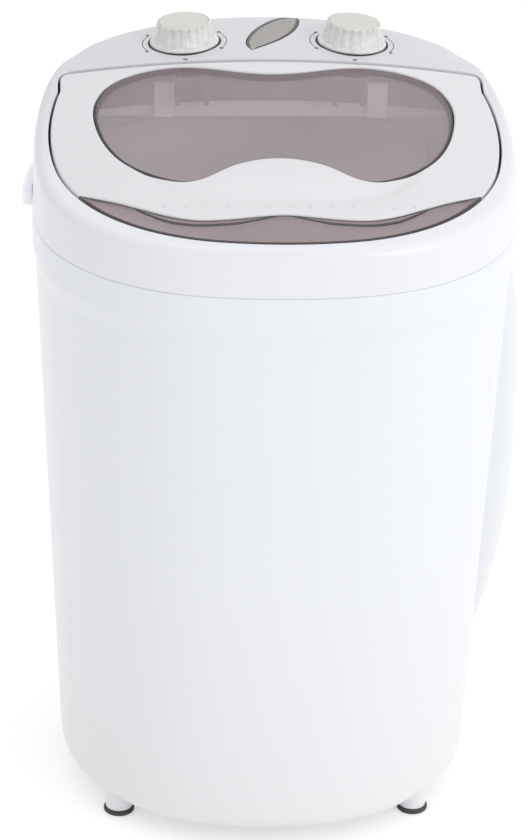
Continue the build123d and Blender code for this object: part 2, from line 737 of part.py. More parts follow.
# ------------------------------------------------------------ small helpers
def rod(radius, low, high, spots=((0, 0),), bore=0.0):
    """Upright cylinders, or tubes when a bore is given."""
    with BuildPart() as piece:
        with BuildSketch(Plane.XY.offset(low)):
            with Locations(*spots):
                Circle(radius)
                if bore:
                    Circle(bore, mode=Mode.SUBTRACT)
        extrude(amount=high - low)
    return piece.part


def rod_y(radius, y0, y1, x, z, bore=0.0):
    """Cylinder along Y."""
    with BuildPart() as piece:
        with BuildSketch(Plane.XZ.offset(-y0)):
            with Locations((x, z)):
                Circle(radius)
                if bore:
                    Circle(bore, mode=Mode.SUBTRACT)
        extrude(amount=-(y1 - y0))
    return piece.part


def turned(profile, x=0.0, y=0.0):
    """Solid of revolution about an upright axis from (radius, height) points."""
    with BuildPart() as piece:
        with BuildSketch(Plane.XZ):
            with BuildLine():
                Polyline(*profile, profile[0])
            make_face()
        revolve(axis=Axis.Z)
    return piece.part.moved(Location((x, y, 0)))


def on_knob(x, tilt, profile):
    """Solid of revolution about a knob's axis; heights are from the panel."""
    body = turned(profile)
    return body.moved(knob_plane(x, tilt).location)


# --------------------------------------------------------- dials and switches
KNOB_PROFILE = [(3.02, -1.6), (6.5, -1.6), (6.5, 11.0), (9.5, 12.6), (18.0, 12.6), (22.0, -1.6), (KNOB_FLANGE_R, -1.6),
                (KNOB_FLANGE_R, 0.8), (KNOB_FLANGE_R - 1.2, 2.2), (23.4, 3.0), (KNOB_TOP_R + 0.5, KNOB_H - 1.2),
                (KNOB_TOP_R, KNOB_H - 0.3), (KNOB_TOP_R - 0.9, KNOB_H - 0.3), (KNOB_TOP_R - 0.9, KNOB_H - 1.4),
                (3.02, KNOB_H - 1.4)]
CAP_PROFILE = [(0, KNOB_H - 1.35), (KNOB_TOP_R - 1.1, KNOB_H - 1.35), (KNOB_TOP_R - 1.1, KNOB_H - 0.3),
               (KNOB_TOP_R - 1.8, KNOB_H), (0, KNOB_H + 0.3)]

with BuildPart() as wash_timer_knob:
    add(on_knob(*KNOBS[0], KNOB_PROFILE))
wash_timer_knob.part.label = "wash_timer_knob"
export_step(wash_timer_knob.part, "parts/wash_timer_knob.step")

with BuildPart() as mode_knob:
    add(on_knob(*KNOBS[1], KNOB_PROFILE))
mode_knob.part.label = "mode_knob"
export_step(mode_knob.part, "parts/mode_knob.step")

with BuildPart() as wash_timer_cap:
    add(on_knob(*KNOBS[0], CAP_PROFILE))
wash_timer_cap.part.label = "wash_timer_cap"
export_step(wash_timer_cap.part, "parts/wash_timer_cap.step")

with BuildPart() as mode_cap:
    add(on_knob(*KNOBS[1], CAP_PROFILE))
mode_cap.part.label = "mode_cap"
export_step(mode_cap.part, "parts/mode_cap.step")

with BuildPart() as wash_timer_shaft:
    add(on_knob(*KNOBS[0], [(0, -20), (3.0, -20), (3.0, 15.9), (0, 15.9)]))
wash_timer_shaft.part.label = "wash_timer_shaft"
export_step(wash_timer_shaft.part, "parts/wash_timer_shaft.step")

with BuildPart() as mode_shaft:
    add(on_knob(*KNOBS[1], [(0, -15), (3.0, -15), (3.0, 15.9), (0, 15.9)]))
mode_shaft.part.label = "mode_shaft"
export_step(mode_shaft.part, "parts/mode_shaft.step")

with BuildPart() as wash_timer_body:
    add(on_knob(*KNOBS[0], [(0, -35), (23.5, -35), (25, -33.5), (25, -7.2), (22, -5.65), (3.06, -5.65), (3.06, -20.4), (0, -20.4)]))
    with BuildSketch(knob_plane(*KNOBS[0], -13.0)):
        with PolarLocations(14.0, 2, start_angle=0):
            Circle(1.52)
    extrude(amount=9.0, mode=Mode.SUBTRACT)
wash_timer_body.part.label = "wash_timer_body"
export_step(wash_timer_body.part, "parts/wash_timer_body.step")

with BuildPart() as mode_switch_body:
    add(on_knob(*KNOBS[1], [(0, -24), (17.2, -24), (18, -23.2), (18, -6.4), (17.2, -5.65), (3.06, -5.65), (3.06, -15.4), (0, -15.4)]))
    with BuildSketch(knob_plane(*KNOBS[1], -13.0)):
        with PolarLocations(14.0, 2, start_angle=0):
            Circle(1.52)
    extrude(amount=9.0, mode=Mode.SUBTRACT)
    # wiring tags on the underside
    with BuildSketch(knob_plane(*KNOBS[1], -29.0)):
        with Locations((-9, 6), (-3, 6), (3, 6), (9, 6)):
            Rectangle(0.9, 5)
    extrude(amount=5.5)
mode_switch_body.part.label = "mode_switch_body"
export_step(mode_switch_body.part, "parts/mode_switch_body.step")

with BuildPart() as control_screws:
    for x, tilt in KNOBS:
        with BuildSketch(knob_plane(x, tilt, -12.5)):
            with PolarLocations(14.0, 2, start_angle=0):
                Circle(1.5)
        extrude(amount=11.0)
        with BuildSketch(knob_plane(x, tilt, -1.95)):
            with PolarLocations(14.0, 2, start_angle=0):
                Circle(3.0)
        extrude(amount=1.6)
control_screws.part.label = "control_screws"
export_step(control_screws.part, "parts/control_screws.step")

with BuildPart() as indicator_lens:
    prism(leaf(-0.2), 553.8, 559.0)
    prism(leaf(1.6), 553.0, 554.7)
indicator_lens.part.label = "indicator_lens"
export_step(indicator_lens.part, "parts/indicator_lens.step")

with BuildPart() as indicator_lamp:
    add(turned([(0, 541), (6, 541), (6, 546), (4, 547), (4, 552.95), (0, 552.95)], 4.0, 135.0))
indicator_lamp.part.label = "indicator_lamp"
export_step(indicator_lamp.part, "parts/indicator_lamp.step")

# ------------------------------------------------------- shaft and pulsator
with BuildPart() as bearing_housing:
    add(turned([(8, 72), (15, 72), (15, 108), (18, 113.9), (36, 113.9), (36, 117.95), (15, 117.95), (15, 125.5), (11, 125.5),
                (11, 119.5), (8, 119.5)]))
    with BuildSketch(Plane.XY.offset(113.0)):
        with PolarLocations(28, 4, start_angle=45):
            Circle(2.1)
    extrude(amount=6.0, mode=Mode.SUBTRACT)
bearing_housing.part.label = "bearing_housing"
export_step(bearing_housing.part, "parts/bearing_housing.step")

BEARING_BOLTS = [(28 * cos(radians(a)), 28 * sin(radians(a))) for a in (45, 135, 225, 315)]
with BuildPart() as bearing_bolts:
    add(rod(2.05, 110.2, 123.0, BEARING_BOLTS))
    add(rod(3.8, 121.05, 123.6, BEARING_BOLTS))
    with BuildSketch(Plane.XY.offset(110.8)):
        with Locations(*BEARING_BOLTS):
            RegularPolygon(3.9, 6)
    extrude(amount=3.0)
bearing_bolts.part.label = "bearing_bolts"
export_step(bearing_bolts.part, "parts/bearing_bolts.step")

with BuildPart() as upper_bush:
    add(rod(7.98, 104.0, 119.4, bore=5.04))
upper_bush.part.label = "upper_bush"
export_step(upper_bush.part, "parts/upper_bush.step")

with BuildPart() as lower_bush:
    add(rod(7.98, 72.1, 87.0, bore=5.04))
lower_bush.part.label = "lower_bush"
export_step(lower_bush.part, "parts/lower_bush.step")

with BuildPart() as shaft_seal:
    add(turned([(5.06, 121.0), (7.0, 119.6), (10.96, 119.6), (10.96, 125.2), (7.4, 125.2), (7.4, 123.2), (5.06, 123.0)]))
shaft_seal.part.label = "shaft_seal"
export_step(shaft_seal.part, "parts/shaft_seal.step")

with BuildPart() as main_shaft:
    add(turned([(0, 36), (4.4, 36), (5, 36.6), (5, 146), (2.52, 146), (2.52, 130), (0, 130)]))
main_shaft.part.label = "main_shaft"
export_step(main_shaft.part, "parts/main_shaft.step")

with BuildPart() as pulsator:
    add(turned([(5.02, 127), (12, 127), (12, 139.5), (30, 134.2), (60, 130.0), (92.5, 127.6), (93, 127), (95, 127),
                (95, 129.6), (93.4, 131.0), (60, 133.4), (30, 138.4), (17, 146.6), (15.5, 147.4), (9, 147.4), (9, 146.0), (5.02, 146.0)]))
    with BuildPart(mode=Mode.PRIVATE) as vanes:
        with BuildSketch(Plane.XZ.offset(-4.5)):
            with BuildLine():
                Polyline((13, 132.5), (90, 129.2), (88, 137), (80, 142.0), (62, 146.5), (34, 148.0), (13, 147.2), (13, 132.5))
            make_face()
        extrude(amount=9.0)
        fillet([e for e in vanes.edges() if abs(e.center().Y) > 4.4 and e.center().Z > 133 and e.center().X > 20], radius=3.4)
    for turn in range(4):
        add(vanes.part.rotate(Axis.Z, 90.0 * turn + 20))
    # small holes between the vanes
    with BuildSketch(Plane.XY.offset(120)):
        with PolarLocations(48, 4, start_angle=65):
            Circle(3.2)
        with PolarLocations(66, 8, start_angle=42.5):
            Circle(3.2)
    extrude(amount=20, mode=Mode.SUBTRACT)
pulsator.part.label = "pulsator"
export_step(pulsator.part, "parts/pulsator.step")

with BuildPart() as pulsator_screw:
    add(turned([(0, 131), (2.48, 131), (2.48, 146.05), (8.0, 146.05), (8.0, 148.2), (6.6, 149.6), (0, 150.2)]))
    with Locations((0, 0, 150)):
        Box(9, 1.6, 2.4, mode=Mode.SUBTRACT)
pulsator_screw.part.label = "pulsator_screw"
export_step(pulsator_screw.part, "parts/pulsator_screw.step")

# ------------------------------------------------------------- belt drive
def pulley(groove, flange, hub, bore, x, y, web):
    """Flat-belt pulley between z 43 and 57."""
    rim = groove - (3.0 if web else 0.0)
    if web:
        pts = [(bore, 43), (hub, 43), (hub, 48.2), (rim - 2, 48.2), (rim - 2, 43), (flange, 43), (flange, 45.0), (groove, 45.5), (groove, 54.5),
               (flange, 55.0), (flange, 57), (rim - 2, 57), (rim - 2, 51.8), (hub, 51.8), (hub, 57), (bore, 57)]
    else:
        pts = [(bore, 43), (flange, 43), (flange, 45.0), (groove, 45.5), (groove, 54.5), (flange, 55.0), (flange, 57), (bore, 57)]
    return turned(pts, x, y)


with BuildPart() as driven_pulley:
    add(pulley(57.5, 63.0, 12.0, 5.02, 0, 0, True))
    with BuildSketch(Plane.XY.offset(44)):
        with PolarLocations(33, 6):
            Circle(11.0)
    extrude(amount=12, mode=Mode.SUBTRACT)
driven_pulley.part.label = "driven_pulley"
export_step(driven_pulley.part, "parts/driven_pulley.step")

with BuildPart() as pulley_nut:
    with BuildSketch(Plane.XY.offset(37.0)):
        RegularPolygon(8.6, 6)
        Circle(5.02, mode=Mode.SUBTRACT)
    extrude(amount=5.95)
pulley_nut.part.label = "pulley_nut"
export_step(pulley_nut.part, "parts/pulley_nut.step")

with BuildPart() as motor_pulley:
    add(pulley(12.5, 18.0, 12.0, 4.02, 0, MOTOR_Y, False))
motor_pulley.part.label = "motor_pulley"
export_step(motor_pulley.part, "parts/motor_pulley.step")


def belt_outline(big, small):
    rise = (big - small) / MOTOR_Y
    run = sqrt(1 - rise ** 2)
    with BuildSketch() as face:
        Circle(big)
        with Locations((0, MOTOR_Y)):
            Circle(small)
        with BuildLine():
            Polyline((big * run, big * rise), (small * run, MOTOR_Y + small * rise),
                     (-small * run, MOTOR_Y + small * rise), (-big * run, big * rise), (big * run, big * rise))
        make_face()
    return face.sketch


with BuildPart() as drive_belt:
    prism(belt_outline(61.0, 16.0), 45.9, 54.1)
    prism(belt_outline(57.9, 12.9), 45.0, 55.0, mode=Mode.SUBTRACT)
drive_belt.part.label = "drive_belt"
export_step(drive_belt.part, "parts/drive_belt.step")

# ------------------------------------------------------------------ motor
with BuildPart() as motor_shell:
    add(turned([(9.02, 64), (44, 64), (46, 66), (46, 99.95), (44.1, 99.95), (44.1, 67), (13, 67), (12, 70), (9.02, 70)], 0, MOTOR_Y))
    # cooling slots in the side
    with Locations((0, MOTOR_Y, 0)):
        with PolarLocations(44, 12):
            with Locations((0, 0, 84)):
                Box(14, 5, 14, mode=Mode.SUBTRACT)
motor_shell.part.label = "motor_shell"
export_step(motor_shell.part, "parts/motor_shell.step")

MOTOR_BOLTS = [(30 * cos(radians(a)), MOTOR_Y + 30 * sin(radians(a))) for a in (90, 210, 330)]
BRACKET_LOW = 109.6
with BuildPart() as motor_end_cap:
    add(turned([(0, 107.7), (9.02, 107.7), (9.02, 100.4), (13, 100.4), (13, 104), (43.9, 104), (43.9, 98.6), (44.05, 98.6), (44.05, 100.0),
                (46, 100.0), (46, 107), (44, 109.5), (0, 109.5)], 0, MOTOR_Y))
    add(rod(2.02, 100, 112, MOTOR_BOLTS), mode=Mode.SUBTRACT)
motor_end_cap.part.label = "motor_end_cap"
export_step(motor_end_cap.part, "parts/motor_end_cap.step")

with BuildPart() as motor_stator:
    add(turned([(28.6, 74), (44.0, 74), (44.0, 94), (28.6, 94)], 0, MOTOR_Y))
    add(turned([(31, 69), (41, 69), (41, 99.5), (31, 99.5)], 0, MOTOR_Y))
motor_stator.part.label = "motor_stator"
export_step(motor_stator.part, "parts/motor_stator.step")

with BuildPart() as motor_rotor:
    add(turned([(4.02, 73), (28, 73), (28, 95), (4.02, 95)], 0, MOTOR_Y))
motor_rotor.part.label = "motor_rotor"
export_step(motor_rotor.part, "parts/motor_rotor.step")

with BuildPart() as motor_shaft:
    add(turned([(0, 41), (3.5, 41), (4, 41.5), (4, 107.2), (0, 107.2)], 0, MOTOR_Y))
motor_shaft.part.label = "motor_shaft"
export_step(motor_shaft.part, "parts/motor_shaft.step")

with BuildPart() as motor_bearings:
    add(turned([(4.05, 64.1), (9.0, 64.1), (9.0, 69.9), (4.05, 69.9)], 0, MOTOR_Y))
    add(turned([(4.05, 101.0), (9.0, 101.0), (9.0, 107.4), (4.05, 107.4)], 0, MOTOR_Y))
motor_bearings.part.label = "motor_bearings"
export_step(motor_bearings.part, "parts/motor_bearings.step")

with BuildPart() as motor_bracket:
    with BuildSketch(Plane.XY.offset(BRACKET_LOW)):
        with Locations((0, MOTOR_Y)):
            RectangleRounded(122, 82, 10)
        with Locations(*BRACKET_BOLTS):
            Circle(2.2, mode=Mode.SUBTRACT)
        with Locations(*MOTOR_BOLTS):
            Circle(2.2, mode=Mode.SUBTRACT)
    extrude(amount=2.3)
motor_bracket.part.label = "motor_bracket"
export_step(motor_bracket.part, "parts/motor_bracket.step")

with BuildPart() as bracket_screws:
    add(rod(2.05, 109.0, 118.4, BRACKET_BOLTS))
    add(rod(4.0, 106.8, 109.55, BRACKET_BOLTS))
bracket_screws.part.label = "bracket_screws"
export_step(bracket_screws.part, "parts/bracket_screws.step")

with BuildPart() as motor_bolts:
    add(rod(2.0, 104.5, 113.0, MOTOR_BOLTS))
    add(rod(3.8, 112.0, 114.8, MOTOR_BOLTS))
motor_bolts.part.label = "motor_bolts"
export_step(motor_bolts.part, "parts/motor_bolts.step")

with BuildPart() as capacitor:
    add(rod_y(17.0, -30, 30, -105, 96))
    fillet(capacitor.edges(), radius=2.0)
    with Locations((-105, -33, 102), (-105, -33, 90)):
        Box(6, 8, 0.9)
capacitor.part.label = "capacitor"
export_step(capacitor.part, "parts/capacitor.step")

with BuildPart() as capacitor_clamp:
    add(rod_y(18.8, -9, 9, -105, 96))
    with Locations((-105, 0, 115.6)):
        Box(30, 18, 4.7)
    add(rod_y(17.04, -10, 10, -105, 96), mode=Mode.SUBTRACT)
capacitor_clamp.part.label = "capacitor_clamp"
export_step(capacitor_clamp.part, "parts/capacitor_clamp.step")

# ----------------------------------------------------- wiring at the back
with BuildPart() as duct_cover:
    with BuildSketch(Plane.YZ.offset(-18)):
        with BuildLine():
            Polyline((150, 62), (168.2, 62), (185.4, 437), (186.8, 452), (186.8, 503.5), (183.5, 507), (150, 507), (150, 62))
        make_face()
    extrude(amount=36)
    fillet([e for e in duct_cover.edges() if e.center().Y > 168 and abs(e.center().X) > 17], radius=3.0)
    with BuildSketch(Plane.YZ.offset(-15.6)):
        with BuildLine():
            Polyline((140, 64.2), (166.2, 64.2), (183.4, 437), (184.8, 452), (184.8, 502.9), (182.8, 504.8), (140, 504.8), (140, 64.2))
        make_face()
    extrude(amount=31.2, mode=Mode.SUBTRACT)
    with BuildPart(mode=Mode.PRIVATE) as machine:
        add(tub_envelope(-0.05, 40, Z_NECK))
        with BuildSketch(Plane.XY.offset(Z_NECK)):
            add(outline(A_NECK + 0.05, NECK))
        with BuildSketch(Plane.XY.offset(Z_BAND)):
            add(outline(A_SEAM + 0.05, COLLAR))
        loft(ruled=True)
        with BuildSketch(Plane.XY.offset(Z_BAND)):
            add(outline(A_SEAM + 0.05, COLLAR))
        extrude(amount=Z_SEAM - Z_BAND)
        with BuildSketch(Plane.XY.offset(Z_SEAM)):
            add(outline(A_SEAM + 0.05, COLLAR))
        with BuildSketch(Plane.XY.offset(570.0)):
            add(outline(A_TOP - 0.55, COLLAR))
        loft(ruled=True)
    add(machine.part, mode=Mode.SUBTRACT)
duct_cover.part.label = "duct_cover"
export_step(duct_cover.part, "parts/duct_cover.step")

with BuildPart() as wire_harness:
    with BuildSketch(Plane.YZ.offset(-6)):
        with BuildLine():
            Polyline((148, 515), (148, 499.7), (182.2, 499.7), (182.2, 452), (180.3, 437), (164.8, 91.1), (149, 91.1), (149, 88.9),
                     (166.8, 88.9), (182.5, 437), (184.3, 452), (184.3, 501.9), (150.2, 501.9), (150.2, 515), (148, 515))
        make_face()
    extrude(amount=12)
wire_harness.part.label = "wire_harness"
export_step(wire_harness.part, "parts/wire_harness.step")

with BuildPart() as cord_gland:
    add(rod_y(6.5, 150, 166, 0, Z_GLAND))
    add(rod_y(9.0, 161.65, 165.5, 0, Z_GLAND))
    add(rod_y(9.0, 153.6, 157.6, 0, Z_GLAND))
    add(rod_y(3.5, 149, 167, 0, Z_GLAND), mode=Mode.SUBTRACT)
cord_gland.part.label = "cord_gland"
export_step(cord_gland.part, "parts/cord_gland.step")


# --------------------------------------- circulation channel and lint filter
def reach(half, shape, az):
    """Distance from the axis to an outline in the direction az."""
    c, k = shape
    big = half + k
    ca, sa = cos(radians(az)), sin(radians(az))
    r = -k * ca + sqrt(k * k * ca * ca - k * k + big * big)
    if degrees(atan2(r * sa, r * ca + k)) > 90 - degrees(atan2(c + k, c)):
        rc = big - hypot(c, c + k)
        b = c * (ca + sa)
        r = b + sqrt(b * b - 2 * c * c + rc * rc)
    return r


def inner_wall(z):
    half, shape = tub_half(z)
    return reach(half - WALL, shape, CHANNEL_AZ)


FILTER_Z = 352.0
FILTER_U = inner_wall(FILTER_Z)
FILTER_AZ = 12.8          # the wall's own normal there
FN = (cos(radians(FILTER_AZ)), sin(radians(FILTER_AZ)))
LEAN = degrees(atan((inner_wall(400.0) - inner_wall(300.0)) / 100.0 * cos(radians(CHANNEL_AZ - FILTER_AZ))))
# local x runs along the wall, local y up the wall, local z into the tub
FILTER_PLANE = Plane(origin=(CH_U[0] * FILTER_U, CH_U[1] * FILTER_U, FILTER_Z),
                     x_dir=(FN[1], -FN[0], 0),
                     z_dir=(-FN[0] * cos(radians(LEAN)), -FN[1] * cos(radians(LEAN)), sin(radians(LEAN))))


def filter_box(x0, x1, y0, y1, z0, z1):
    with BuildPart() as block:
        with BuildSketch(FILTER_PLANE.offset(z0)):
            with Locations(((x0 + x1) / 2, (y0 + y1) / 2)):
                Rectangle(x1 - x0, y1 - y0)
        extrude(amount=z1 - z0)
    return block.part


with BuildPart() as circulation_cover:
    with BuildPart(mode=Mode.PRIVATE) as band:
        with BuildSketch(CH_PLANE.offset(-52)):
            with Locations(((100 + 200) / 2, 283)):
                RectangleRounded(100, 300, 0.5)
        extrude(amount=104)
    add(tub_envelope(WALL + 0.05, 130, 436))
    add(tub_envelope(WALL + 2.45, 128, 437), mode=Mode.SUBTRACT)
    add(band.part, mode=Mode.INTERSECT)
    # flat pad with guide rails for the filter
    with BuildPart(mode=Mode.PRIVATE) as pad:
        add(filter_box(-31, 31, -50, 76, 1.0, 6.0))
        add(filter_box(-31, -25, -50, 76, 5.0, 13.0))
        add(filter_box(25, 31, -50, 76, 5.0, 13.0))
        add(filter_box(-31, -21, -50, 76, 10.8, 13.0))
        add(filter_box(21, 31, -50, 76, 10.8, 13.0))
        add(filter_box(-31, 31, -50, -45, 5.0, 13.0))
        fillet([e for e in pad.edges().filter_by(GeomType.LINE) if e.length > 100 and
                abs(FILTER_PLANE.to_local_coords(e.center()).X) > 30.5 and FILTER_PLANE.to_local_coords(e.center()).Z > 12.5], radius=2.0)
    add(pad.part)
    # outlet behind the filter, and the inlet slots low down
    add(filter_box(-18, 18, -38, 32, -2.0, 9.0), mode=Mode.SUBTRACT)
    with BuildPart(mode=Mode.PRIVATE) as slots:
        with BuildSketch(Plane(origin=(0, 0, 0), x_dir=(-CH_U[1], CH_U[0], 0), z_dir=(CH_U[0], CH_U[1], 0))):
            with GridLocations(12, 22, 6, 4):
                SlotOverall(16, 5, rotation=90)
        extrude(amount=220)
    add(slots.part.moved(Location((0, 0, 190))), mode=Mode.SUBTRACT)
circulation_cover.part.label = "circulation_cover"
export_step(circulation_cover.part, "parts/circulation_cover.step")

with BuildPart() as lint_filter:
    add(filter_box(-24.6, 24.6, -44.6, 38, 6.4, 10.4))
    add(filter_box(-19.5, 19.5, -42, 36, 6.4, 17.0))
    fillet([e for e in lint_filter.edges().filter_by(GeomType.LINE) if FILTER_PLANE.to_local_coords(e.center()).Z > 16.5], radius=3.0)
    # finger tab on top
    add(filter_box(-10, 10, 34, 46, 6.4, 9.4))
    # open back and mesh windows
    add(filter_box(-16.5, 16.5, -38, 32, 5.0, 14.6), mode=Mode.SUBTRACT)
    with BuildSketch(FILTER_PLANE.offset(14)):
        with GridLocations(11, 11.6, 3, 6):
            Rectangle(8.6, 9.0)
    extrude(amount=5, mode=Mode.SUBTRACT)
lint_filter.part.label = "lint_filter"
export_step(lint_filter.part, "parts/lint_filter.step")

# ------------------------------------------------------------------- drain
with BuildPart() as drain_grate:
    add(rod(17.0, 121.02, 123.4, [DRAIN]))
    fillet(drain_grate.edges().filter_by(GeomType.CIRCLE).group_by(Axis.Z)[-1], radius=1.2)
    with BuildSketch(Plane.XY.offset(120)):
        with Locations(DRAIN):
            with GridLocations(4.2, 0, 5, 1):
                SlotOverall(17, 2.2, rotation=90)
    extrude(amount=5, mode=Mode.SUBTRACT)
drain_grate.part.label = "drain_grate"
export_step(drain_grate.part, "parts/drain_grate.step")

with BuildPart() as drain_elbow:
    add(rod(11.0, Z_DRAIN, 117.9, [DRAIN]))
    add(rod(15.0, 114.0, 117.9, [DRAIN]))
    add(rod(8.95, 117.0, 121.0, [DRAIN]))
    add(rod_y(10.6, DRAIN[1], 152.5, DRAIN[0], Z_DRAIN))
    add(rod_y(11.0, 152.0, 172.0, DRAIN[0], Z_DRAIN))
    with Locations((DRAIN[0], DRAIN[1], Z_DRAIN)):
        Sphere(11.0)
    add(rod(7.4, Z_DRAIN, 122.0, [DRAIN]), mode=Mode.SUBTRACT)
    add(rod_y(8.6, DRAIN[1], 173.0, DRAIN[0], Z_DRAIN), mode=Mode.SUBTRACT)
    with Locations((DRAIN[0], DRAIN[1], Z_DRAIN)):
        Sphere(8.0, mode=Mode.SUBTRACT)
drain_elbow.part.label = "drain_elbow"
export_step(drain_elbow.part, "parts/drain_elbow.step")

# -------------------------------------------------------------- base, feet
with BuildPart() as base_cover:
    with BuildSketch(Plane.XY.offset(Z_BASE - 2.5)):
        add(outline(143, FOOT))
        with Locations(*LEGS):
            Circle(11.4, mode=Mode.SUBTRACT)
        with Locations(*BASE_SCREWS):
            Circle(1.9, mode=Mode.SUBTRACT)
        with GridLocations(9.0, 0, 13, 1):
            SlotOverall(56, 4.6, rotation=90, mode=Mode.SUBTRACT)
    extrude(amount=2.45)
base_cover.part.label = "base_cover"
export_step(base_cover.part, "parts/base_cover.step")

with BuildPart() as base_screws:
    add(rod(1.65, 12.0, 28.0, BASE_SCREWS))
    add(rod(3.5, 10.6, 12.85, BASE_SCREWS))
base_screws.part.label = "base_screws"
export_step(base_screws.part, "parts/base_screws.step")

with BuildPart() as foot_pads:
    for x, y in LEGS:
        add(turned([(0, 0), (11.0, 0), (12.0, 1.0), (12.0, 2.9), (11.0, 3.95), (3.95, 3.95), (3.95, 20), (0, 20)], x, y))
foot_pads.part.label = "foot_pads"
export_step(foot_pads.part, "parts/foot_pads.step")

with BuildPart() as frame_screws:
    add(rod(2.05, 450.0, 477.5, FRAME_SCREWS))
    add(rod(4.0, 448.0, 450.95, FRAME_SCREWS))
frame_screws.part.label = "frame_screws"
export_step(frame_screws.part, "parts/frame_screws.step")
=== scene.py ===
import json
import math

import bmesh
import bpy
import numpy as np
from mathutils import Matrix, Vector


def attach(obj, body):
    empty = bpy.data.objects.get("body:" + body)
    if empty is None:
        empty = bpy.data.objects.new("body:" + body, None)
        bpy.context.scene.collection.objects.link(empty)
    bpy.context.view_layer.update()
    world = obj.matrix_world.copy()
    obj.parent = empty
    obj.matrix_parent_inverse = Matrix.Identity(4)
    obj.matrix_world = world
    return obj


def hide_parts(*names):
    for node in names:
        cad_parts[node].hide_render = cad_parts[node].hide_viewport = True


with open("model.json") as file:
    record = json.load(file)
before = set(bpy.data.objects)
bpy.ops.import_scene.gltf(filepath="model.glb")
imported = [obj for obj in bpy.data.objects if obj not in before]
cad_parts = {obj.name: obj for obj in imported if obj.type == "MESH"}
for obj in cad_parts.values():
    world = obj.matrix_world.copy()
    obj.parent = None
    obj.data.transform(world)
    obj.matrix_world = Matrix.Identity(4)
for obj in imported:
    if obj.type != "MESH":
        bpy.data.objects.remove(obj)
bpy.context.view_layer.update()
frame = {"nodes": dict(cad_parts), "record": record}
scene = bpy.context.scene

# ------------------------------------------------------------------ camera
PITCH, YAW, ROLL = math.radians(26.118), math.radians(-3.245), math.radians(-1.367)
back = Vector((math.sin(YAW) * math.cos(PITCH), -math.cos(YAW) * math.cos(PITCH), math.sin(PITCH)))
right = Vector((math.cos(YAW), math.sin(YAW), 0.0))
up = back.cross(right)
r2 = right * math.cos(ROLL) - up * math.sin(ROLL)
u2 = right * math.sin(ROLL) + up * math.cos(ROLL)
cam_data = bpy.data.cameras.new("camera")
cam = bpy.data.objects.new("camera", cam_data)
scene.collection.objects.link(cam)
cam_data.sensor_width = 36.0
cam_data.lens = 155.62
cam_data.clip_start, cam_data.clip_end = 0.05, 50.0
turn = Matrix((r2, u2, back)).transposed().to_4x4()
cam.matrix_world = Matrix.Translation(Vector((-0.14590, -2.51924, 1.52865))) @ turn
scene.camera = cam

# ---------------------------------------------------------------- geometry
# Plans and heights below are in millimetres, as the frame's own drawing.
TAU = 2 * np.pi


def rad(deg):
    return math.radians(deg)


def step(lo, hi, x):
    t = np.clip((x - lo) / (hi - lo), 0.0, 1.0)
    return t * t * (3 - 2 * t)


def soft_max(a, b, k):
    h = np.maximum(k - np.abs(a - b), 0.0) / k
    return np.maximum(a, b) + h * h * k * 0.25


def soft_min(a, b, k):
    return -soft_max(-a, -b, k)


def columns(spots, n, gain=3.0, width=0.07):
    """n azimuths round the circle, closer together near the given spots."""
    fine = np.linspace(0, TAU, 6001)
    dens = np.ones_like(fine)
    for s in spots:
        d = np.angle(np.exp(1j * (fine - s)))
        dens += gain * np.exp(-(d / width) ** 2)
    cum = np.concatenate([[0], np.cumsum((dens[1:] + dens[:-1]) / 2)])
    return np.interp(np.arange(n) / n, cum / cum[-1], fine)


def reach(half, c, k, th):
    """Radius of the rounded-square outline in the direction th."""
    a, b = np.abs(np.cos(th)), np.abs(np.sin(th))
    ca, sa = np.maximum(a, b), np.minimum(a, b)
    big = half + k
    flat = -k * ca + np.sqrt(np.maximum(k * k * ca * ca - k * k + big * big, 0))
    rc = big - np.hypot(c, c + k)
    bb = c * (ca + sa)
    corner = bb + np.sqrt(np.maximum(bb * bb - 2 * c * c + rc * rc, 0))
    return np.where(np.arctan2(flat * sa, flat * ca + k) > np.arctan2(c, c + k), corner, flat)


def spline(xs, ys):
    """Natural cubic through the points, as a function."""
    xs, ys = np.asarray(xs, float), np.asarray(ys, float)
    n = len(xs)
    h = np.diff(xs)
    a = np.zeros((n, n))
    b = np.zeros(n)
    a[0, 0] = a[-1, -1] = 1
    for i in range(1, n - 1):
        a[i, i - 1], a[i, i], a[i, i + 1] = h[i - 1], 2 * (h[i - 1] + h[i]), h[i]
        b[i] = 3 * ((ys[i + 1] - ys[i]) / h[i] - (ys[i] - ys[i - 1]) / h[i - 1])
    c = np.linalg.solve(a, b)

    def value(x):
        x = np.asarray(x, float)
        i = np.clip(np.searchsorted(xs, x) - 1, 0, n - 2)
        d = np.clip(x, xs[0], xs[-1]) - xs[i]
        slope = (ys[i + 1] - ys[i]) / h[i] - h[i] * (2 * c[i] + c[i + 1]) / 3
        return ys[i] + slope * d + c[i] * d ** 2 + (c[i + 1] - c[i]) / (3 * h[i]) * d ** 3
    return value


def smooth_loop(points, n, closed=True):
    """n points along a Catmull-Rom line, evenly spaced by length."""
    p = np.asarray(points, float)
    m = len(p)
    out = []
    for i in range(m if closed else m - 1):
        if closed:
            q = [p[(i + j) % m] for j in (-1, 0, 1, 2)]
        else:
            q = [p[min(max(i + j, 0), m - 1)] for j in (-1, 0, 1, 2)]
        t = np.linspace(0, 1, 24, endpoint=False)[:, None]
        out.append(0.5 * (2 * q[1] + (q[2] - q[0]) * t + (2 * q[0] - 5 * q[1] + 4 * q[2] - q[3]) * t ** 2
                          + (3 * q[1] - q[0] - 3 * q[2] + q[3]) * t ** 3))
    line = np.concatenate(out + ([out[0][:1]] if closed else [p[-1:]]))
    run = np.concatenate([[0], np.cumsum(np.linalg.norm(np.diff(line, axis=0), axis=1))])
    at = np.linspace(0, run[-1], n, endpoint=not closed)
    return np.stack([np.interp(at, run, line[:, i]) for i in range(line.shape[1])], -1)


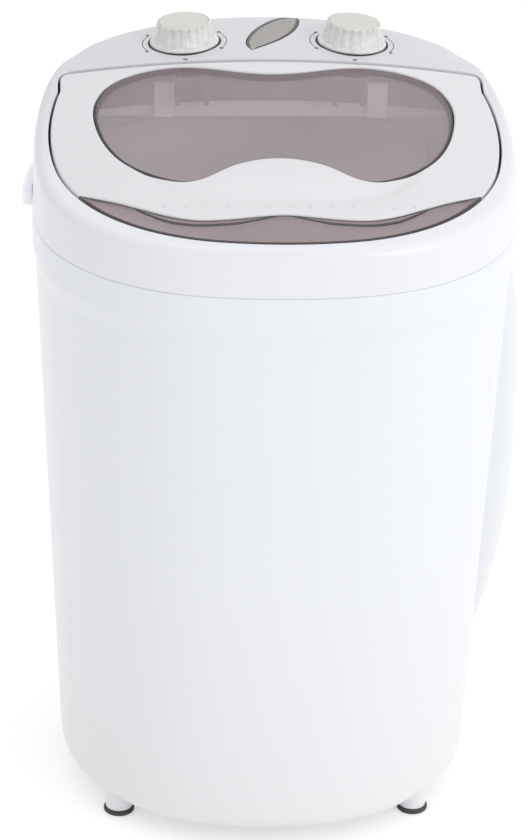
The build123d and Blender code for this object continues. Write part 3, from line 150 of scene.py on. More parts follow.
def inset_loop(line, amount):
    """The closed anticlockwise line moved inwards by amount."""
    d = np.roll(line, -1, 0) - np.roll(line, 1, 0)
    d /= np.linalg.norm(d, axis=1)[:, None]
    return line + np.stack([-d[:, 1], d[:, 0]], -1) * amount


def put(name, verts, faces, sharp=35.0, mats=(), slots=None):
    """A clean mesh object from millimetre points: welded, facing outwards, with hard edges where it turns sharply."""
    me = bpy.data.meshes.new(name)
    me.from_pydata((np.asarray(verts, float) * 0.001).tolist(), [], [tuple(f) for f in faces])
    bm = bmesh.new()
    bm.from_mesh(me)
    if slots is not None:
        for f, s in zip(bm.faces, slots):
            f.material_index = int(s)
    bmesh.ops.remove_doubles(bm, verts=bm.verts, dist=2e-6)
    bmesh.ops.dissolve_degenerate(bm, edges=bm.edges, dist=1e-6)
    bmesh.ops.recalc_face_normals(bm, faces=bm.faces)
    bm.to_mesh(me)
    bm.free()
    for m in mats:
        me.materials.append(m)
    obj = bpy.data.objects.new(name, me)
    scene.collection.objects.link(obj)
    harden(me, sharp)
    return obj


def harden(me, sharp):
    bm = bmesh.new()
    bm.from_mesh(me)
    limit = math.radians(sharp)
    for f in bm.faces:
        f.smooth = True
    for e in bm.edges:
        e.smooth = not (len(e.link_faces) != 2 or e.calc_face_angle(0.0) > limit)
    bm.to_mesh(me)
    bm.free()


def loft(rings, closed=True, cap=False):
    """Points and faces of rings of equal count, each ring closed on itself."""
    n, m = len(rings[0]), len(rings)
    verts = np.concatenate(rings)
    i = np.arange(n)
    k = (i + 1) % n
    faces = []
    for j in range(m if closed else m - 1):
        a, b = j * n, ((j + 1) % m) * n
        faces += np.stack([a + i, a + k, b + k, b + i], -1).tolist()
    if cap and not closed:
        faces += [list(range(n)), list(range((m - 1) * n, m * n))]
    return verts, faces


def joined(*parts):
    verts, faces, base = [], [], 0
    for v, f in parts:
        verts.append(np.asarray(v, float))
        faces += [[x + base for x in g] for g in f]
        base += len(v)
    return np.concatenate(verts), faces


def polar(r, th, z):
    r = np.broadcast_to(r, th.shape)
    return np.stack([r * np.cos(th), r * np.sin(th), np.broadcast_to(z, th.shape)], -1)


def lathe(profile, n=72, x=0.0, y=0.0, matrix=None):
    """Turned solid from (radius, height) points that start and end on the axis or close on themselves."""
    th = np.arange(n) / n * TAU
    prof = list(profile)
    on_axis = prof[0][0] <= 1e-6 and prof[-1][0] <= 1e-6
    if on_axis:
        inner = prof[1:-1]
        rings = [polar(r, th, z) for r, z in inner]
        verts, faces = loft(rings, closed=False)
        lo, hi = len(verts), len(verts) + 1
        verts = np.concatenate([verts, [[0, 0, prof[0][1]], [0, 0, prof[-1][1]]]])
        last = (len(inner) - 1) * n
        faces += [[lo, (i + 1) % n, i] for i in range(n)]
        faces += [[hi, last + i, last + (i + 1) % n] for i in range(n)]
    else:
        verts, faces = loft([polar(r, th, z) for r, z in prof], closed=True)
    verts = np.asarray(verts, float)
    if matrix is not None:
        m = np.array(matrix)
        verts = verts @ m[:3, :3].T + m[:3, 3]
    verts = verts + np.array([x, y, 0.0])
    return verts, faces


def rounded(profile, radius, steps=4):
    """Corners of a (radius, height) polyline rounded; radius is one number or one for each point, 0 for a sharp corner."""
    p = [np.array(q, float) for q in profile]
    rs = [radius] * len(p) if np.isscalar(radius) else list(radius)
    out = [p[0]]
    for i in range(1, len(p) - 1):
        a, b, c = p[i - 1], p[i], p[i + 1]
        u, v = a - b, c - b
        lu, lv = np.linalg.norm(u), np.linalg.norm(v)
        if rs[i] <= 0 or lu < 1e-6 or lv < 1e-6:
            out.append(b)
            continue
        u, v = u / lu, v / lv
        gamma = math.acos(max(-1, min(1, float(u @ v))))
        t = rs[i] / math.tan(gamma / 2) if gamma > 1e-3 else 0
        t = min(t, lu * 0.48, lv * 0.48)
        w = math.sin(gamma / 2)
        for s in np.linspace(0, 1, steps + 1):
            k0, k1, k2 = (1 - s) ** 2, 2 * w * s * (1 - s), s * s
            out.append((k0 * (b + u * t) + k1 * b + k2 * (b + v * t)) / (k0 + k1 + k2))
    out.append(p[-1])
    return [tuple(q) for q in out]


def conic(p1, e, p2, steps):
    """Rings along circular arcs from p1 to p2 with tangents that meet at e; each is (r, z) arrays."""
    u, v = [a - b for a, b in zip(p1, e)], [a - b for a, b in zip(p2, e)]
    lu, lv = np.hypot(*u), np.hypot(*v)
    cosg = (u[0] * v[0] + u[1] * v[1]) / (lu * lv)
    w = np.sin(np.arccos(np.clip(cosg, -1, 1)) / 2)
    rings = []
    for s in np.linspace(0, 1, steps + 1):
        k0, k1, k2 = (1 - s) ** 2, 2 * w * s * (1 - s), s * s
        rings.append(tuple((k0 * a + k1 * b + k2 * c) / (k0 + k1 + k2) for a, b, c in zip(p1, e, p2)))
    return rings


def cut(obj, cutters, sharp=35.0):
    """Subtracts the cutters from obj, exactly, and removes them."""
    for c in cutters:
        mod = obj.modifiers.new("cut", "BOOLEAN")
        mod.operation, mod.solver, mod.object = "DIFFERENCE", "EXACT", c
    dg = bpy.context.evaluated_depsgraph_get()
    dg.update()
    made = bpy.data.meshes.new_from_object(obj.evaluated_get(dg))
    obj.modifiers.clear()
    obj.data = made
    for c in cutters:
        bpy.data.objects.remove(c)
    bm = bmesh.new()
    bm.from_mesh(made)
    bmesh.ops.remove_doubles(bm, verts=bm.verts, dist=2e-6)
    bmesh.ops.dissolve_degenerate(bm, edges=bm.edges, dist=1e-6)
    bm.to_mesh(made)
    bm.free()
    harden(made, sharp)
    return obj


def prism(line, low, high):
    """Points and faces of an upright block on a closed plan line."""
    lo = np.concatenate([line, np.full((len(line), 1), low)], 1)
    hi = np.concatenate([line, np.full((len(line), 1), high)], 1)
    return loft([lo, hi], closed=False, cap=True)


def box_at(x0, x1, y0, y1, z0, z1, r=0.0, steps=3):
    """Block with its upright edges rounded."""
    if r <= 0:
        line = np.array([(x0, y0), (x1, y0), (x1, y1), (x0, y1)], float)
    else:
        a = np.linspace(0, np.pi / 2, steps + 1)
        line = np.concatenate([
            np.stack([cx + r * np.cos(a + s), cy + r * np.sin(a + s)], -1)
            for cx, cy, s in ((x1 - r, y1 - r, 0), (x0 + r, y1 - r, np.pi / 2), (x0 + r, y0 + r, np.pi), (x1 - r, y0 + r, 1.5 * np.pi))])
    return prism(line, z0, z1)


# --------------------------------------------------------------- materials
def new_mat(name):
    mat = bpy.data.materials.new(name)
    mat.use_nodes = True
    nt = mat.node_tree
    return mat, nt, nt.nodes["Principled BSDF"]


def noise(nt, scale, detail=3.0, rough=0.5, coord=None):
    tex = nt.nodes.new("ShaderNodeTexNoise")
    tex.inputs["Scale"].default_value = scale
    tex.inputs["Detail"].default_value = detail
    tex.inputs["Roughness"].default_value = rough
    if coord is None:
        coord = nt.nodes.new("ShaderNodeTexCoord").outputs["Object"]
    nt.links.new(coord, tex.inputs["Vector"])
    return tex.outputs["Fac"]


def ramp(nt, source, stops):
    node = nt.nodes.new("ShaderNodeValToRGB")
    while len(node.color_ramp.elements) < len(stops):
        node.color_ramp.elements.new(0.5)
    for e, (p, c) in zip(node.color_ramp.elements, stops):
        e.position = p
        e.color = (*c, 1.0)
    nt.links.new(source, node.inputs["Fac"])
    return node.outputs["Color"]


def spread(nt, source, low, high):
    node = nt.nodes.new("ShaderNodeMapRange")
    node.inputs["From Min"].default_value = 0.3
    node.inputs["From Max"].default_value = 0.7
    node.inputs["To Min"].default_value = low
    node.inputs["To Max"].default_value = high
    nt.links.new(source, node.inputs["Value"])
    return node.outputs["Result"]


def bump(nt, bsdf, height, strength, distance):
    b = nt.nodes.new("ShaderNodeBump")
    b.inputs["Strength"].default_value = strength
    b.inputs["Distance"].default_value = distance
    nt.links.new(height, b.inputs["Height"])
    nt.links.new(b.outputs["Normal"], bsdf.inputs["Normal"])


def plastic(name, color, vary=0.015, rough=(0.28, 0.36), coat=0.0, grain=1400.0, relief=0.05, low=None, span=(0.02, 0.30)):
    """Moulded plastic: faint flow mottling, uneven gloss and a fine skin. low is its tint below the span of heights."""
    mat, nt, bsdf = new_mat(name)
    dark = tuple(max(0.0, c * (1 - vary)) for c in color)
    light = tuple(min(1.0, c * (1 + vary)) for c in color)
    tint = ramp(nt, noise(nt, 9.0, 4.0, 0.55), [(0.3, dark), (0.7, light)])
    if low is not None:
        coord = nt.nodes.new("ShaderNodeTexCoord")
        parts = nt.nodes.new("ShaderNodeSeparateXYZ")
        nt.links.new(coord.outputs["Object"], parts.inputs["Vector"])
        fall = nt.nodes.new("ShaderNodeMapRange")
        fall.interpolation_type = "SMOOTHSTEP"
        fall.inputs["From Min"].default_value = span[0]
        fall.inputs["From Max"].default_value = span[1]
        fall.inputs["To Min"].default_value = 1.0
        fall.inputs["To Max"].default_value = 0.0
        nt.links.new(parts.outputs["Z"], fall.inputs["Value"])
        mix = nt.nodes.new("ShaderNodeMix")
        mix.data_type = "RGBA"
        nt.links.new(fall.outputs["Result"], mix.inputs["Factor"])
        nt.links.new(tint, mix.inputs["A"])
        mix.inputs["B"].default_value = (*low, 1.0)
        tint = mix.outputs["Result"]
    nt.links.new(tint, bsdf.inputs["Base Color"])
    nt.links.new(spread(nt, noise(nt, 60.0, 3.0, 0.6), *rough), bsdf.inputs["Roughness"])
    bump(nt, bsdf, noise(nt, grain, 2.0, 0.5), relief, 0.0002)
    bsdf.inputs["IOR"].default_value = 1.49
    if coat:
        bsdf.inputs["Coat Weight"].default_value = coat
        bsdf.inputs["Coat Roughness"].default_value = 0.1
    return mat


def metal(name, color, rough=(0.25, 0.4), stretch=(1, 1, 12), scale=180.0, relief=0.08):
    """Worked metal: fine streaks and stains."""
    mat, nt, bsdf = new_mat(name)
    coord = nt.nodes.new("ShaderNodeTexCoord")
    mapping = nt.nodes.new("ShaderNodeMapping")
    mapping.inputs["Scale"].default_value = stretch
    nt.links.new(coord.outputs["Object"], mapping.inputs["Vector"])
    streak = noise(nt, scale, 4.0, 0.6, mapping.outputs["Vector"])
    dark = tuple(c * 0.82 for c in color)
    light = tuple(min(1.0, c * 1.08) for c in color)
    nt.links.new(ramp(nt, noise(nt, 40.0, 4.0, 0.6), [(0.3, dark), (0.7, light)]), bsdf.inputs["Base Color"])
    nt.links.new(spread(nt, streak, *rough), bsdf.inputs["Roughness"])
    bump(nt, bsdf, streak, relief, 0.0002)
    bsdf.inputs["Metallic"].default_value = 1.0
    return mat


def smoked(name, color, alpha, rough=(0.08, 0.16), vary=0.05):
    """Smoked or clear sheet plastic, seen through by its alpha."""
    mat, nt, bsdf = new_mat(name)
    dark = tuple(c * (1 - vary) for c in color)
    light = tuple(min(1.0, c * (1 + vary)) for c in color)
    nt.links.new(ramp(nt, noise(nt, 14.0, 3.0, 0.5), [(0.3, dark), (0.7, light)]), bsdf.inputs["Base Color"])
    nt.links.new(spread(nt, noise(nt, 90.0, 3.0, 0.6), *rough), bsdf.inputs["Roughness"])
    bump(nt, bsdf, noise(nt, 500.0, 2.0, 0.5), 0.02, 0.0002)
    bsdf.inputs["Alpha"].default_value = alpha
    bsdf.inputs["IOR"].default_value = 1.49
    return mat


def cut_glass(name, color, rough=(0.03, 0.08)):
    """Clear moulded styrene with small cut facets."""
    mat, nt, bsdf = new_mat(name)
    cells = nt.nodes.new("ShaderNodeTexVoronoi")
    cells.distance = "CHEBYCHEV"
    cells.inputs["Scale"].default_value = 190.0
    nt.links.new(nt.nodes.new("ShaderNodeTexCoord").outputs["Object"], cells.inputs["Vector"])
    dark = tuple(c * 0.90 for c in color)
    # painted shade: the colour darkens towards each cell's edge, for the dark streaks the clear fluted knob shows
    nt.links.new(ramp(nt, cells.outputs["Distance"], [(0.15, color), (0.75, dark)]), bsdf.inputs["Base Color"])
    nt.links.new(spread(nt, noise(nt, 300.0, 3.0, 0.6), *rough), bsdf.inputs["Roughness"])
    bump(nt, bsdf, cells.outputs["Distance"], 0.35, 0.0009)
    bsdf.inputs["Transmission Weight"].default_value = 0.42
    bsdf.inputs["IOR"].default_value = 1.52
    return mat


M = {}
# painted shade: towards the floor the body fades to a slightly darker, less blue white, set for the light near the
# floor
M["body_white"] = plastic("m_body_white", (0.690, 0.708, 0.743), 0.006, (0.28, 0.34), 0.12, 900.0, 0.012, low=(0.690, 0.695, 0.712))
# painted shade: the lid is a darker copy of the white plastic, set for the stronger light on its upward face
M["lid_white"] = plastic("m_lid_white", (0.640, 0.636, 0.662), 0.008, (0.30, 0.36), 0.12, 900.0, 0.012)
# painted shade and light: the frame is a darker white above 0.556 m and a lighter white below 0.512 m, set by how the
# light falls on its top and sides
M["frame_white"] = plastic("m_frame_white", (0.575, 0.582, 0.615), 0.006, (0.28, 0.34), 0.12, 900.0, 0.012, low=(0.690, 0.700, 0.742), span=(0.512, 0.556))
# painted shade: near-black copy of the frame plastic for the sunken ledge round the lid, which lies in the gap's shadow
M["frame_shade"] = plastic("m_frame_shade", (0.10, 0.10, 0.11), 0.05, (0.5, 0.6), 0.0, 900.0, 0.02)
# painted light: a brighter copy of the white for the tub's inside, which lies in shade under the lid
M["inner_white"] = plastic("m_inner_white", (0.80, 0.81, 0.82), 0.015, (0.34, 0.46), 0.0, 1200.0, 0.06)
M["pulsator_white"] = plastic("m_pulsator_white", (0.70, 0.76, 0.82), 0.02, (0.24, 0.34), 0.2, 1200.0, 0.05)
M["cap_ivory"] = plastic("m_cap_ivory", (0.560, 0.545, 0.510), 0.03, (0.3, 0.4), 0.2, 1200.0, 0.03)
M["switch_grey"] = plastic("m_switch_grey", (0.32, 0.33, 0.34), 0.04, (0.45, 0.6), 0.0, 900.0, 0.1)
M["fitting_grey"] = plastic("m_fitting_grey", (0.36, 0.38, 0.41), 0.04, (0.42, 0.58), 0.0, 900.0, 0.1)
M["capacitor_grey"] = plastic("m_capacitor", (0.72, 0.72, 0.70), 0.03, (0.4, 0.55), 0.0, 900.0, 0.08)
M["filter_blue"] = plastic("m_filter_blue", (0.30, 0.47, 0.68), 0.04, (0.4, 0.52), 0.0, 1100.0, 0.08)
M["rubber_grey"] = plastic("m_rubber_grey", (0.045, 0.045, 0.048), 0.08, (0.55, 0.7), 0.0, 700.0, 0.2)
M["rubber_black"] = plastic("m_rubber_black", (0.03, 0.03, 0.032), 0.10, (0.5, 0.7), 0.0, 800.0, 0.2)
M["wire_black"] = plastic("m_wire_black", (0.04, 0.04, 0.045), 0.10, (0.4, 0.55), 0.0, 900.0, 0.1)
M["motor_paint"] = plastic("m_motor_paint", (0.10, 0.105, 0.115), 0.08, (0.35, 0.5), 0.1, 600.0, 0.15)
M["winding_copper"] = plastic("m_winding", (0.36, 0.16, 0.07), 0.15, (0.3, 0.5), 0.2, 500.0, 0.4)
# painted light: a brighter copy of the white for the pillars behind the lid, which lie in shade
M["pillar_white"] = plastic("m_pillar_white", (0.90, 0.88, 0.88), 0.01, (0.3, 0.4), 0.0, 900.0, 0.02)
# painted light: a brighter copy of the body white for the side handles, which lie in shade
M["lug_white"] = plastic("m_lug_white", (0.88, 0.885, 0.93), 0.006, (0.28, 0.34), 0.12, 900.0, 0.012)
M["print_grey"] = plastic("m_print_grey", (0.12, 0.13, 0.16), 0.05, (0.4, 0.5), 0.0, 900.0, 0.02)
# painted shade: near-black copy of the white plastic for the hinge wall, ears and knuckles, which sit in shadow behind
# the smoked window
M["shade_grey"] = plastic("m_shade_grey", (0.035, 0.034, 0.040), 0.05, (0.8, 0.9), 0.0, 900.0, 0.03)
M["shadow_gap"] = plastic("m_shadow_gap", (0.02, 0.02, 0.022), 0.05, (0.6, 0.7), 0.0, 900.0, 0.05)
M["pin_steel"] = metal("m_pin_steel", (0.62, 0.62, 0.63), (0.18, 0.3))
M["screw_steel"] = metal("m_screw_steel", (0.70, 0.70, 0.70), (0.25, 0.4))
M["bush_bronze"] = metal("m_bush_bronze", (0.62, 0.42, 0.20), (0.4, 0.55))
M["pulley_alloy"] = metal("m_pulley_alloy", (0.70, 0.71, 0.72), (0.32, 0.5), (1, 1, 1), 120.0)
M["rotor_iron"] = metal("m_rotor_iron", (0.36, 0.36, 0.37), (0.4, 0.6))
M["bracket_zinc"] = metal("m_bracket_zinc", (0.60, 0.61, 0.62), (0.3, 0.45), (1, 1, 1), 90.0)
M["tinted_clear"] = smoked("m_tinted", (0.60, 0.505, 0.545), 0.29)
M["grip_clear"] = smoked("m_grip", (0.40, 0.325, 0.335), 0.56)
M["leaf_clear"] = smoked("m_leaf", (0.50, 0.465, 0.45), 0.66)
# painted shade: near-black, nearly opaque sheet for the dark edges of the smoked window, grip and indicator lens, where
# the gaps round them lie in shadow
M["tinted_edge"] = smoked("m_tinted_edge", (0.035, 0.03, 0.033), 0.95)
M["knob_clear"] = cut_glass("m_knob_clear", (1.0, 1.0, 0.985))
M["lamp_clear"] = smoked("m_lamp", (0.80, 0.35, 0.25), 0.6)

slot_of = {s["node"]: s.get("material_slot") for s in frame["record"]["subparts"]}
for name, obj in frame["nodes"].items():
    obj.data.materials.clear()
    obj.data.materials.append(M[slot_of[name]])

# -------------------------------------------------------------- tub and skirt
Z_BASE, Z_NECK, Z_BAND, Z_SEAM, Z_FLOOR = 15.4, 437.0, 450.0, 475.0, 121.0


def tub_shape(z):
    if z <= Z_NECK:
        t = (z - Z_BASE) / (Z_NECK - Z_BASE)
        return 160 + 18.9 * t, 19 + 10 * t, 80 + 57 * t
    t = min((z - Z_NECK) / (Z_BAND - Z_NECK), 1.0)
    return 178.9 + 2.1 * t, 29 + 5.3 * t, 137 + 38.5 * t


CHANNEL = [(162, 84), (173.5, 106), (182.5, 134), (189.5, 163), (194.5, 192), (197.3, 221), (198.5, 255), (198.5, 300),
           (197.6, 345), (194, 385), (188.5, 418), (182, 446)]
channel_depth = spline([z for r, z in CHANNEL], [r for r, z in CHANNEL])


def channel_r(z, th, inset):
    """The water channel's bulge in the wall, as a radius; 0 where it isn't."""
    if not 84 < z < 446:
        return np.zeros_like(th)
    rho, half, rc = float(channel_depth(z)) - inset, 47.0 - inset, 22.0 - inset
    al = np.abs(np.angle(np.exp(1j * (th - rad(20)))))
    ca, sa = np.cos(al), np.maximum(np.sin(al), 1e-9)
    r = np.minimum(rho / np.maximum(ca, 1e-3), half / sa)
    cu, cv = rho - rc, half - rc
    b = cu * ca + cv * sa
    arc = b + np.sqrt(np.maximum(b * b - cu * cu - cv * cv + rc * rc, 0))
    r = np.where((r * ca > cu) & (r * sa > cv), arc, r)
    return np.where(al < rad(60), r, 0.0)


def tub_r(z, th, inset=0.0, bulge=True):
    half, c, k = tub_shape(z)
    r = reach(half - inset, c, k, th)
    if bulge:
        soft = 0.4 + 6.5 * float(step(90, 150, z) * (1 - step(395, 440, z)))
        b = channel_r(z, th, inset)
        r = np.where(b > 0, soft_max(r, b, soft), r)
    return r


TH = columns([rad(20 - 10), rad(20 + 10)], 420, 1.6, 0.13)
rings = []
for t in (0.0, 0.5, 1.0):
    outer = reach(tub_shape(Z_BASE)[0] - 15.8, 19, 80, TH)
    rings.append(polar(reach(128.0, 19, 80, TH) * (1 - t) + outer * t, TH, Z_BASE))
for a in np.linspace(0, 90, 10)[1:]:
    z = Z_BASE + 15.8 * (1 - math.cos(rad(a)))
    rings.append(polar(tub_r(z, TH, 15.8 * (1 - math.sin(rad(a)))), TH, z))
for z in list(np.linspace(38, 84, 6)) + list(np.linspace(91, 436.4, 46)):
    rings.append(polar(tub_r(z, TH), TH, z))
for z in (437.6, 439, 443.5, 448, 449.4, 450.6, 455, 462, 469, 473.6):
    rings.append(polar(tub_r(z, TH, 0.0, z < 446), TH, z))
for a in (30, 60, 90):
    rings.append(polar(tub_r(474, TH, 1.0 * (1 - math.cos(rad(a)))), TH, 474 + 1.0 * math.sin(rad(a))))
rings.append(polar(tub_r(475, TH, 2.5), TH, 475.0))
for z in (475.0, 470.0, 460.0, 450.0):
    rings.append(polar(tub_r(475, TH, 4.0), TH, z))
for z in list(np.linspace(437, 137, 30)):
    rings.append(polar(tub_r(z, TH, 3.0), TH, z))
for a in np.linspace(90, 0, 8)[1:]:
    z = Z_FLOOR + 16 * (1 - math.cos(rad(a)))
    rings.append(polar(tub_r(z, TH, 3 + 16 * (1 - math.sin(rad(a))), False), TH, z))
foot = tub_r(Z_FLOOR, TH, 19.0, False)
for t in (0.2, 0.4, 0.6, 0.8, 1.0):
    rings.append(polar(foot * (1 - t) + 15.1 * t, TH, Z_FLOOR))
for t in (0.0, 0.35, 0.7, 1.0):
    rings.append(polar(15.1 * (1 - t) + tub_r(118, TH, 3.0, False) * t, TH, 118.0))
for z in (100.0, 75.0, 50.0, 30.4):
    rings.append(polar(tub_r(z, TH, 3.0, False), TH, z))
for a in np.linspace(90, 0, 6)[1:]:
    z = 18.4 + 12 * (1 - math.cos(rad(a)))
    rings.append(polar(tub_r(z, TH, 3 + 12 * (1 - math.sin(rad(a))), False), TH, z))
rings.append(polar(reach(128.0, 19, 80, TH), TH, 18.4))
tub = put("tub_shell", *loft(rings), mats=[M["body_white"]], sharp=38)


def round_bar(p0, p1, r, n=48):
    """Cylinder between two points, for cutting."""
    p0, p1 = np.array(p0, float), np.array(p1, float)
    d = p1 - p0
    d /= np.linalg.norm(d)
    s = np.cross(d, [0.3, 0.5, 0.8])
    s /= np.linalg.norm(s)
    t = np.cross(d, s)
    a = np.arange(n) / n * TAU
    ring = r * (np.cos(a)[:, None] * s + np.sin(a)[:, None] * t)
    return loft([ring + p0, ring + p1], closed=False, cap=True)


cut(tub, [put("c1", *round_bar((-84, 84, 112), (-84, 84, 128), 9.0)),
          put("c2", *round_bar((-84, 120, 84), (-84, 185, 84), 11.4)),
          put("c3", *round_bar((0, 140, 40), (0, 185, 40), 6.6))], 38)
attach(tub, "cabinet")
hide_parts("tub_body")

# leg posts moulded under the skirt
posts = []
leg = rounded([(0, 4.0), (10.5, 4.0), (10.9, 24.0), (12.2, 34.0), (12.2, 42.0), (0, 42.0)], [0, 0.7, 6.0, 6.0, 0.5, 0], 4)
for sx in (-1, 1):
    for sy in (-1, 1):
        posts.append(lathe(leg, 56, sx * 115.0, sy * 97.0))
legs = put("leg_posts", *joined(*posts), mats=[M["body_white"]])
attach(legs, "cabinet")

pads = []
pad = rounded([(0, 0), (11.2, 0), (12.0, 0.9), (12.0, 2.9), (10.9, 3.95), (0, 3.95)], [0, 0.5, 0.4, 0.5, 0.3, 0], 3)
for sx in (-1, 1):
    for sy in (-1, 1):
        pads.append(lathe(pad, 56, sx * 115.0, sy * 97.0))
feet = put("rubber_feet", *joined(*pads), mats=[M["rubber_grey"]])
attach(feet, "cabinet")
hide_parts("foot_pads")

# ------------------------------------------------------------------ top frame
SLOPE = 0.178


def slope_z(x, y):
    return 512.8 + SLOPE * (y + 167.0) - x * x / 2188.0


def panel_z(x):
    return 559.5 - x * x / 2188.0


def deck_z(x, y):
    """Lid slope and control panel with the soft crease between them, and the panel's raised middle."""
    t = 80.0 * math.tan(math.atan(SLOPE) / 2)
    s = np.clip((y - (95.4 - t)) / (2 * t), 0, 1)
    base = 512.8 + SLOPE * (y + 167.0)
    z = np.where(y < 95.4 - t, base, np.where(y > 95.4 + t, 559.5, base - SLOPE * 2 * t * s * s / 2)) - x * x / 2188.0
    u = np.abs(x)
    swell = 0.9 * step(88, 116, u) * (1 - step(133, 145, u)) - 1.0 * step(137, 147, u) * (1 - step(152, 168, u))
    return z + swell * step(90, 106, y)


def lid_r(grow, th):
    """Radius of the lid's plan, grown by grow."""
    c, s = np.cos(th), np.sin(th)
    r = reach(166.9 + grow, 18.8, 78.2, th)
    y1, x1 = 82.0 + grow, 160.0 + grow
    r = np.where(s > 1e-6, np.minimum(r, y1 / np.maximum(s, 1e-6)), r)
    down = np.where(s > 0, y1 / np.maximum(s, 1e-9), (2 + grow if grow > -2 else 0.01) / np.maximum(-s, 1e-9))
    box = np.minimum(x1 / np.maximum(np.abs(c), 1e-9), down)
    fr = max(9.0 + grow, 3.0)
    cx, cy = x1 - fr, y1 - fr
    bx, by = box * np.abs(c), box * s
    b = cx * np.abs(c) + cy * s
    arc = b + np.sqrt(np.maximum(b * b - cx * cx - cy * cy + fr * fr, 0))
    box = np.where((bx > cx) & (by > cy), arc, box)
    return np.maximum(r, box)


def frame_half(z):
    return 181.0 - 3.6 * (z - Z_SEAM) / 95.0


TF = columns([rad(27.2), rad(152.8)], 500, 4.0, 0.08)
cf, sf = np.cos(TF), np.sin(TF)


def rim_edge(inset, drop):
    z = np.full_like(TF, 540.0)
    for _ in range(40):
        r = reach(frame_half(z) - inset, 34.3, 175.5, TF)
        z = deck_z(r * cf, r * sf) - drop
    return r, z


def deck_at(r, drop=0.0):
    return deck_z(r * cf, r * sf) - drop


def slope_at(r, drop=0.0):
    return slope_z(r * cf, r * sf) - drop


deg = np.degrees(TF)
shoulder = np.exp(-((deg - 34) / 13.0) ** 2) + np.exp(-((deg - 146) / 13.0) ** 2)
rim_r = 9.0 - 5.6 * np.clip(shoulder, 0, 1)
re_, ze_ = rim_edge(0.0, 0.0)
fall = (ze_ - deck_at(re_ - 6.0)) / 6.0
din = np.stack([-np.ones_like(fall), -fall]) / np.hypot(1, fall)
dwn = np.array([3.6 / 95.0, -1.0]) / math.hypot(3.6 / 95.0, 1)
gam = np.arccos(np.clip(din[0] * dwn[0] + din[1] * dwn[1], -1, 1))
tan_len = rim_r / np.tan(gam / 2)
p1 = (re_ + tan_len * din[0], ze_ + tan_len * din[1])
p2 = (re_ + tan_len * dwn[0], ze_ + tan_len * dwn[1])
w0 = lid_r(1.8, TF)
rings = []
start = w0 + 0.9
width = p1[0] - start
for t in np.linspace(0, 1, 40):
    r = start + width * t
    z = deck_at(r) * (1 - t ** 6) + (deck_at(r) + (p1[1] - deck_at(p1[0]))) * t ** 6
    rings.append(polar(r, TF, z))
for r, z in conic(p1, (re_, ze_), p2, 9)[1:]:
    rings.append(polar(r, TF, z))
for t in np.linspace(0, 1, 8)[1:]:
    z = p2[1] * (1 - t) + 476.0 * t
    rings.append(polar(reach(frame_half(z), 34.3, 175.5, TF), TF, z))
for a in (30, 60, 90):
    rings.append(polar(reach(181.0 - 1.0 * (1 - math.cos(rad(a))), 34.3, 175.5, TF), TF, 476 - 1.0 * math.sin(rad(a))))
for inset, z in ((4.4, 475.05), (4.4, 468.0), (7.4, 468.0), (7.4, 477.5), (3.2, 477.5)):
    rings.append(polar(reach(181.0 - inset, 34.3, 175.5, TF), TF, z))
ri_, zi_ = rim_edge(3.6, 3.4)
for t in (0.25, 0.5, 0.75, 0.93):
    z = 477.5 * (1 - t) + zi_ * t
    rings.append(polar(reach(frame_half(z) - 3.2, 34.3, 175.5, TF), TF, z))
w1 = lid_r(4.4, TF)
inner_top = ri_ - 5.0
inner_top = np.maximum(inner_top, w1 + 0.6)
for t in (0.0, 0.25, 0.5, 0.75, 1.0):
    r = inner_top * (1 - t) + w1 * t
    rings.append(polar(r, TF, deck_at(r, 3.2)))
rings.append(polar(w1, TF, slope_at(w1, 17.0)))
w2 = lid_r(-13.0, TF)
for r, d in ((w2 + 0.6, 17.0), (w2, 16.4), (w2, 14.7), (w2 + 0.7, 14.0), (w0 - 5, 14.0), (w0 - 0.6, 14.0), (w0, 13.4)):
    rings.append(polar(r, TF, slope_at(r, d)))
for t in (0.35, 0.7, 1.0):
    rings.append(polar(w0, TF, slope_at(w0, 13.4 * (1 - t) + 0.9 * t)))
edge = (w0, slope_at(w0))
for r, z in conic((w0, slope_at(w0, 0.9)), edge, (start, deck_at(start)), 4)[1:-1]:
    rings.append(polar(r, TF, z))
top = put("top_frame_shell", *loft(rings), mats=[M["frame_white"], M["frame_shade"]], sharp=38)

# the mouth behind the window, the dial recesses and the indicator opening
nx = 41
xs = np.linspace(-150, 150, nx)
verts, faces = [], []
for y in (45.0, 87.0):
    for x in xs:
        verts.append((x, y, 440.0))
    for x in xs:
        verts.append((x, y, slope_z(x, y) - 3.2))
for i in range(nx - 1):
    faces += [(i, i + 1, nx + i + 1, nx + i), (2 * nx + i, 3 * nx + i, 3 * nx + i + 1, 2 * nx + i + 1),
              (nx + i, nx + i + 1, 3 * nx + i + 1, 3 * nx + i), (i, 2 * nx + i, 2 * nx + i + 1, i + 1)]
faces += [(0, nx, 3 * nx, 2 * nx), (nx - 1, 3 * nx - 1, 4 * nx - 1, 2 * nx - 1)]
cutters = [put("c4", verts, faces)]
KNOBS = [(-64.6, -3.4), (64.6, 3.4)]


def knob_matrix(x, tilt, lift=0.0):
    n = (math.sin(rad(tilt)), 0.0, math.cos(rad(tilt)))
    return np.array([[n[2], 0, n[0], x + n[0] * lift], [0, 1, 0, 119.5], [-n[0], 0, n[2], panel_z(x) + n[2] * lift], [0, 0, 0, 1.0]])


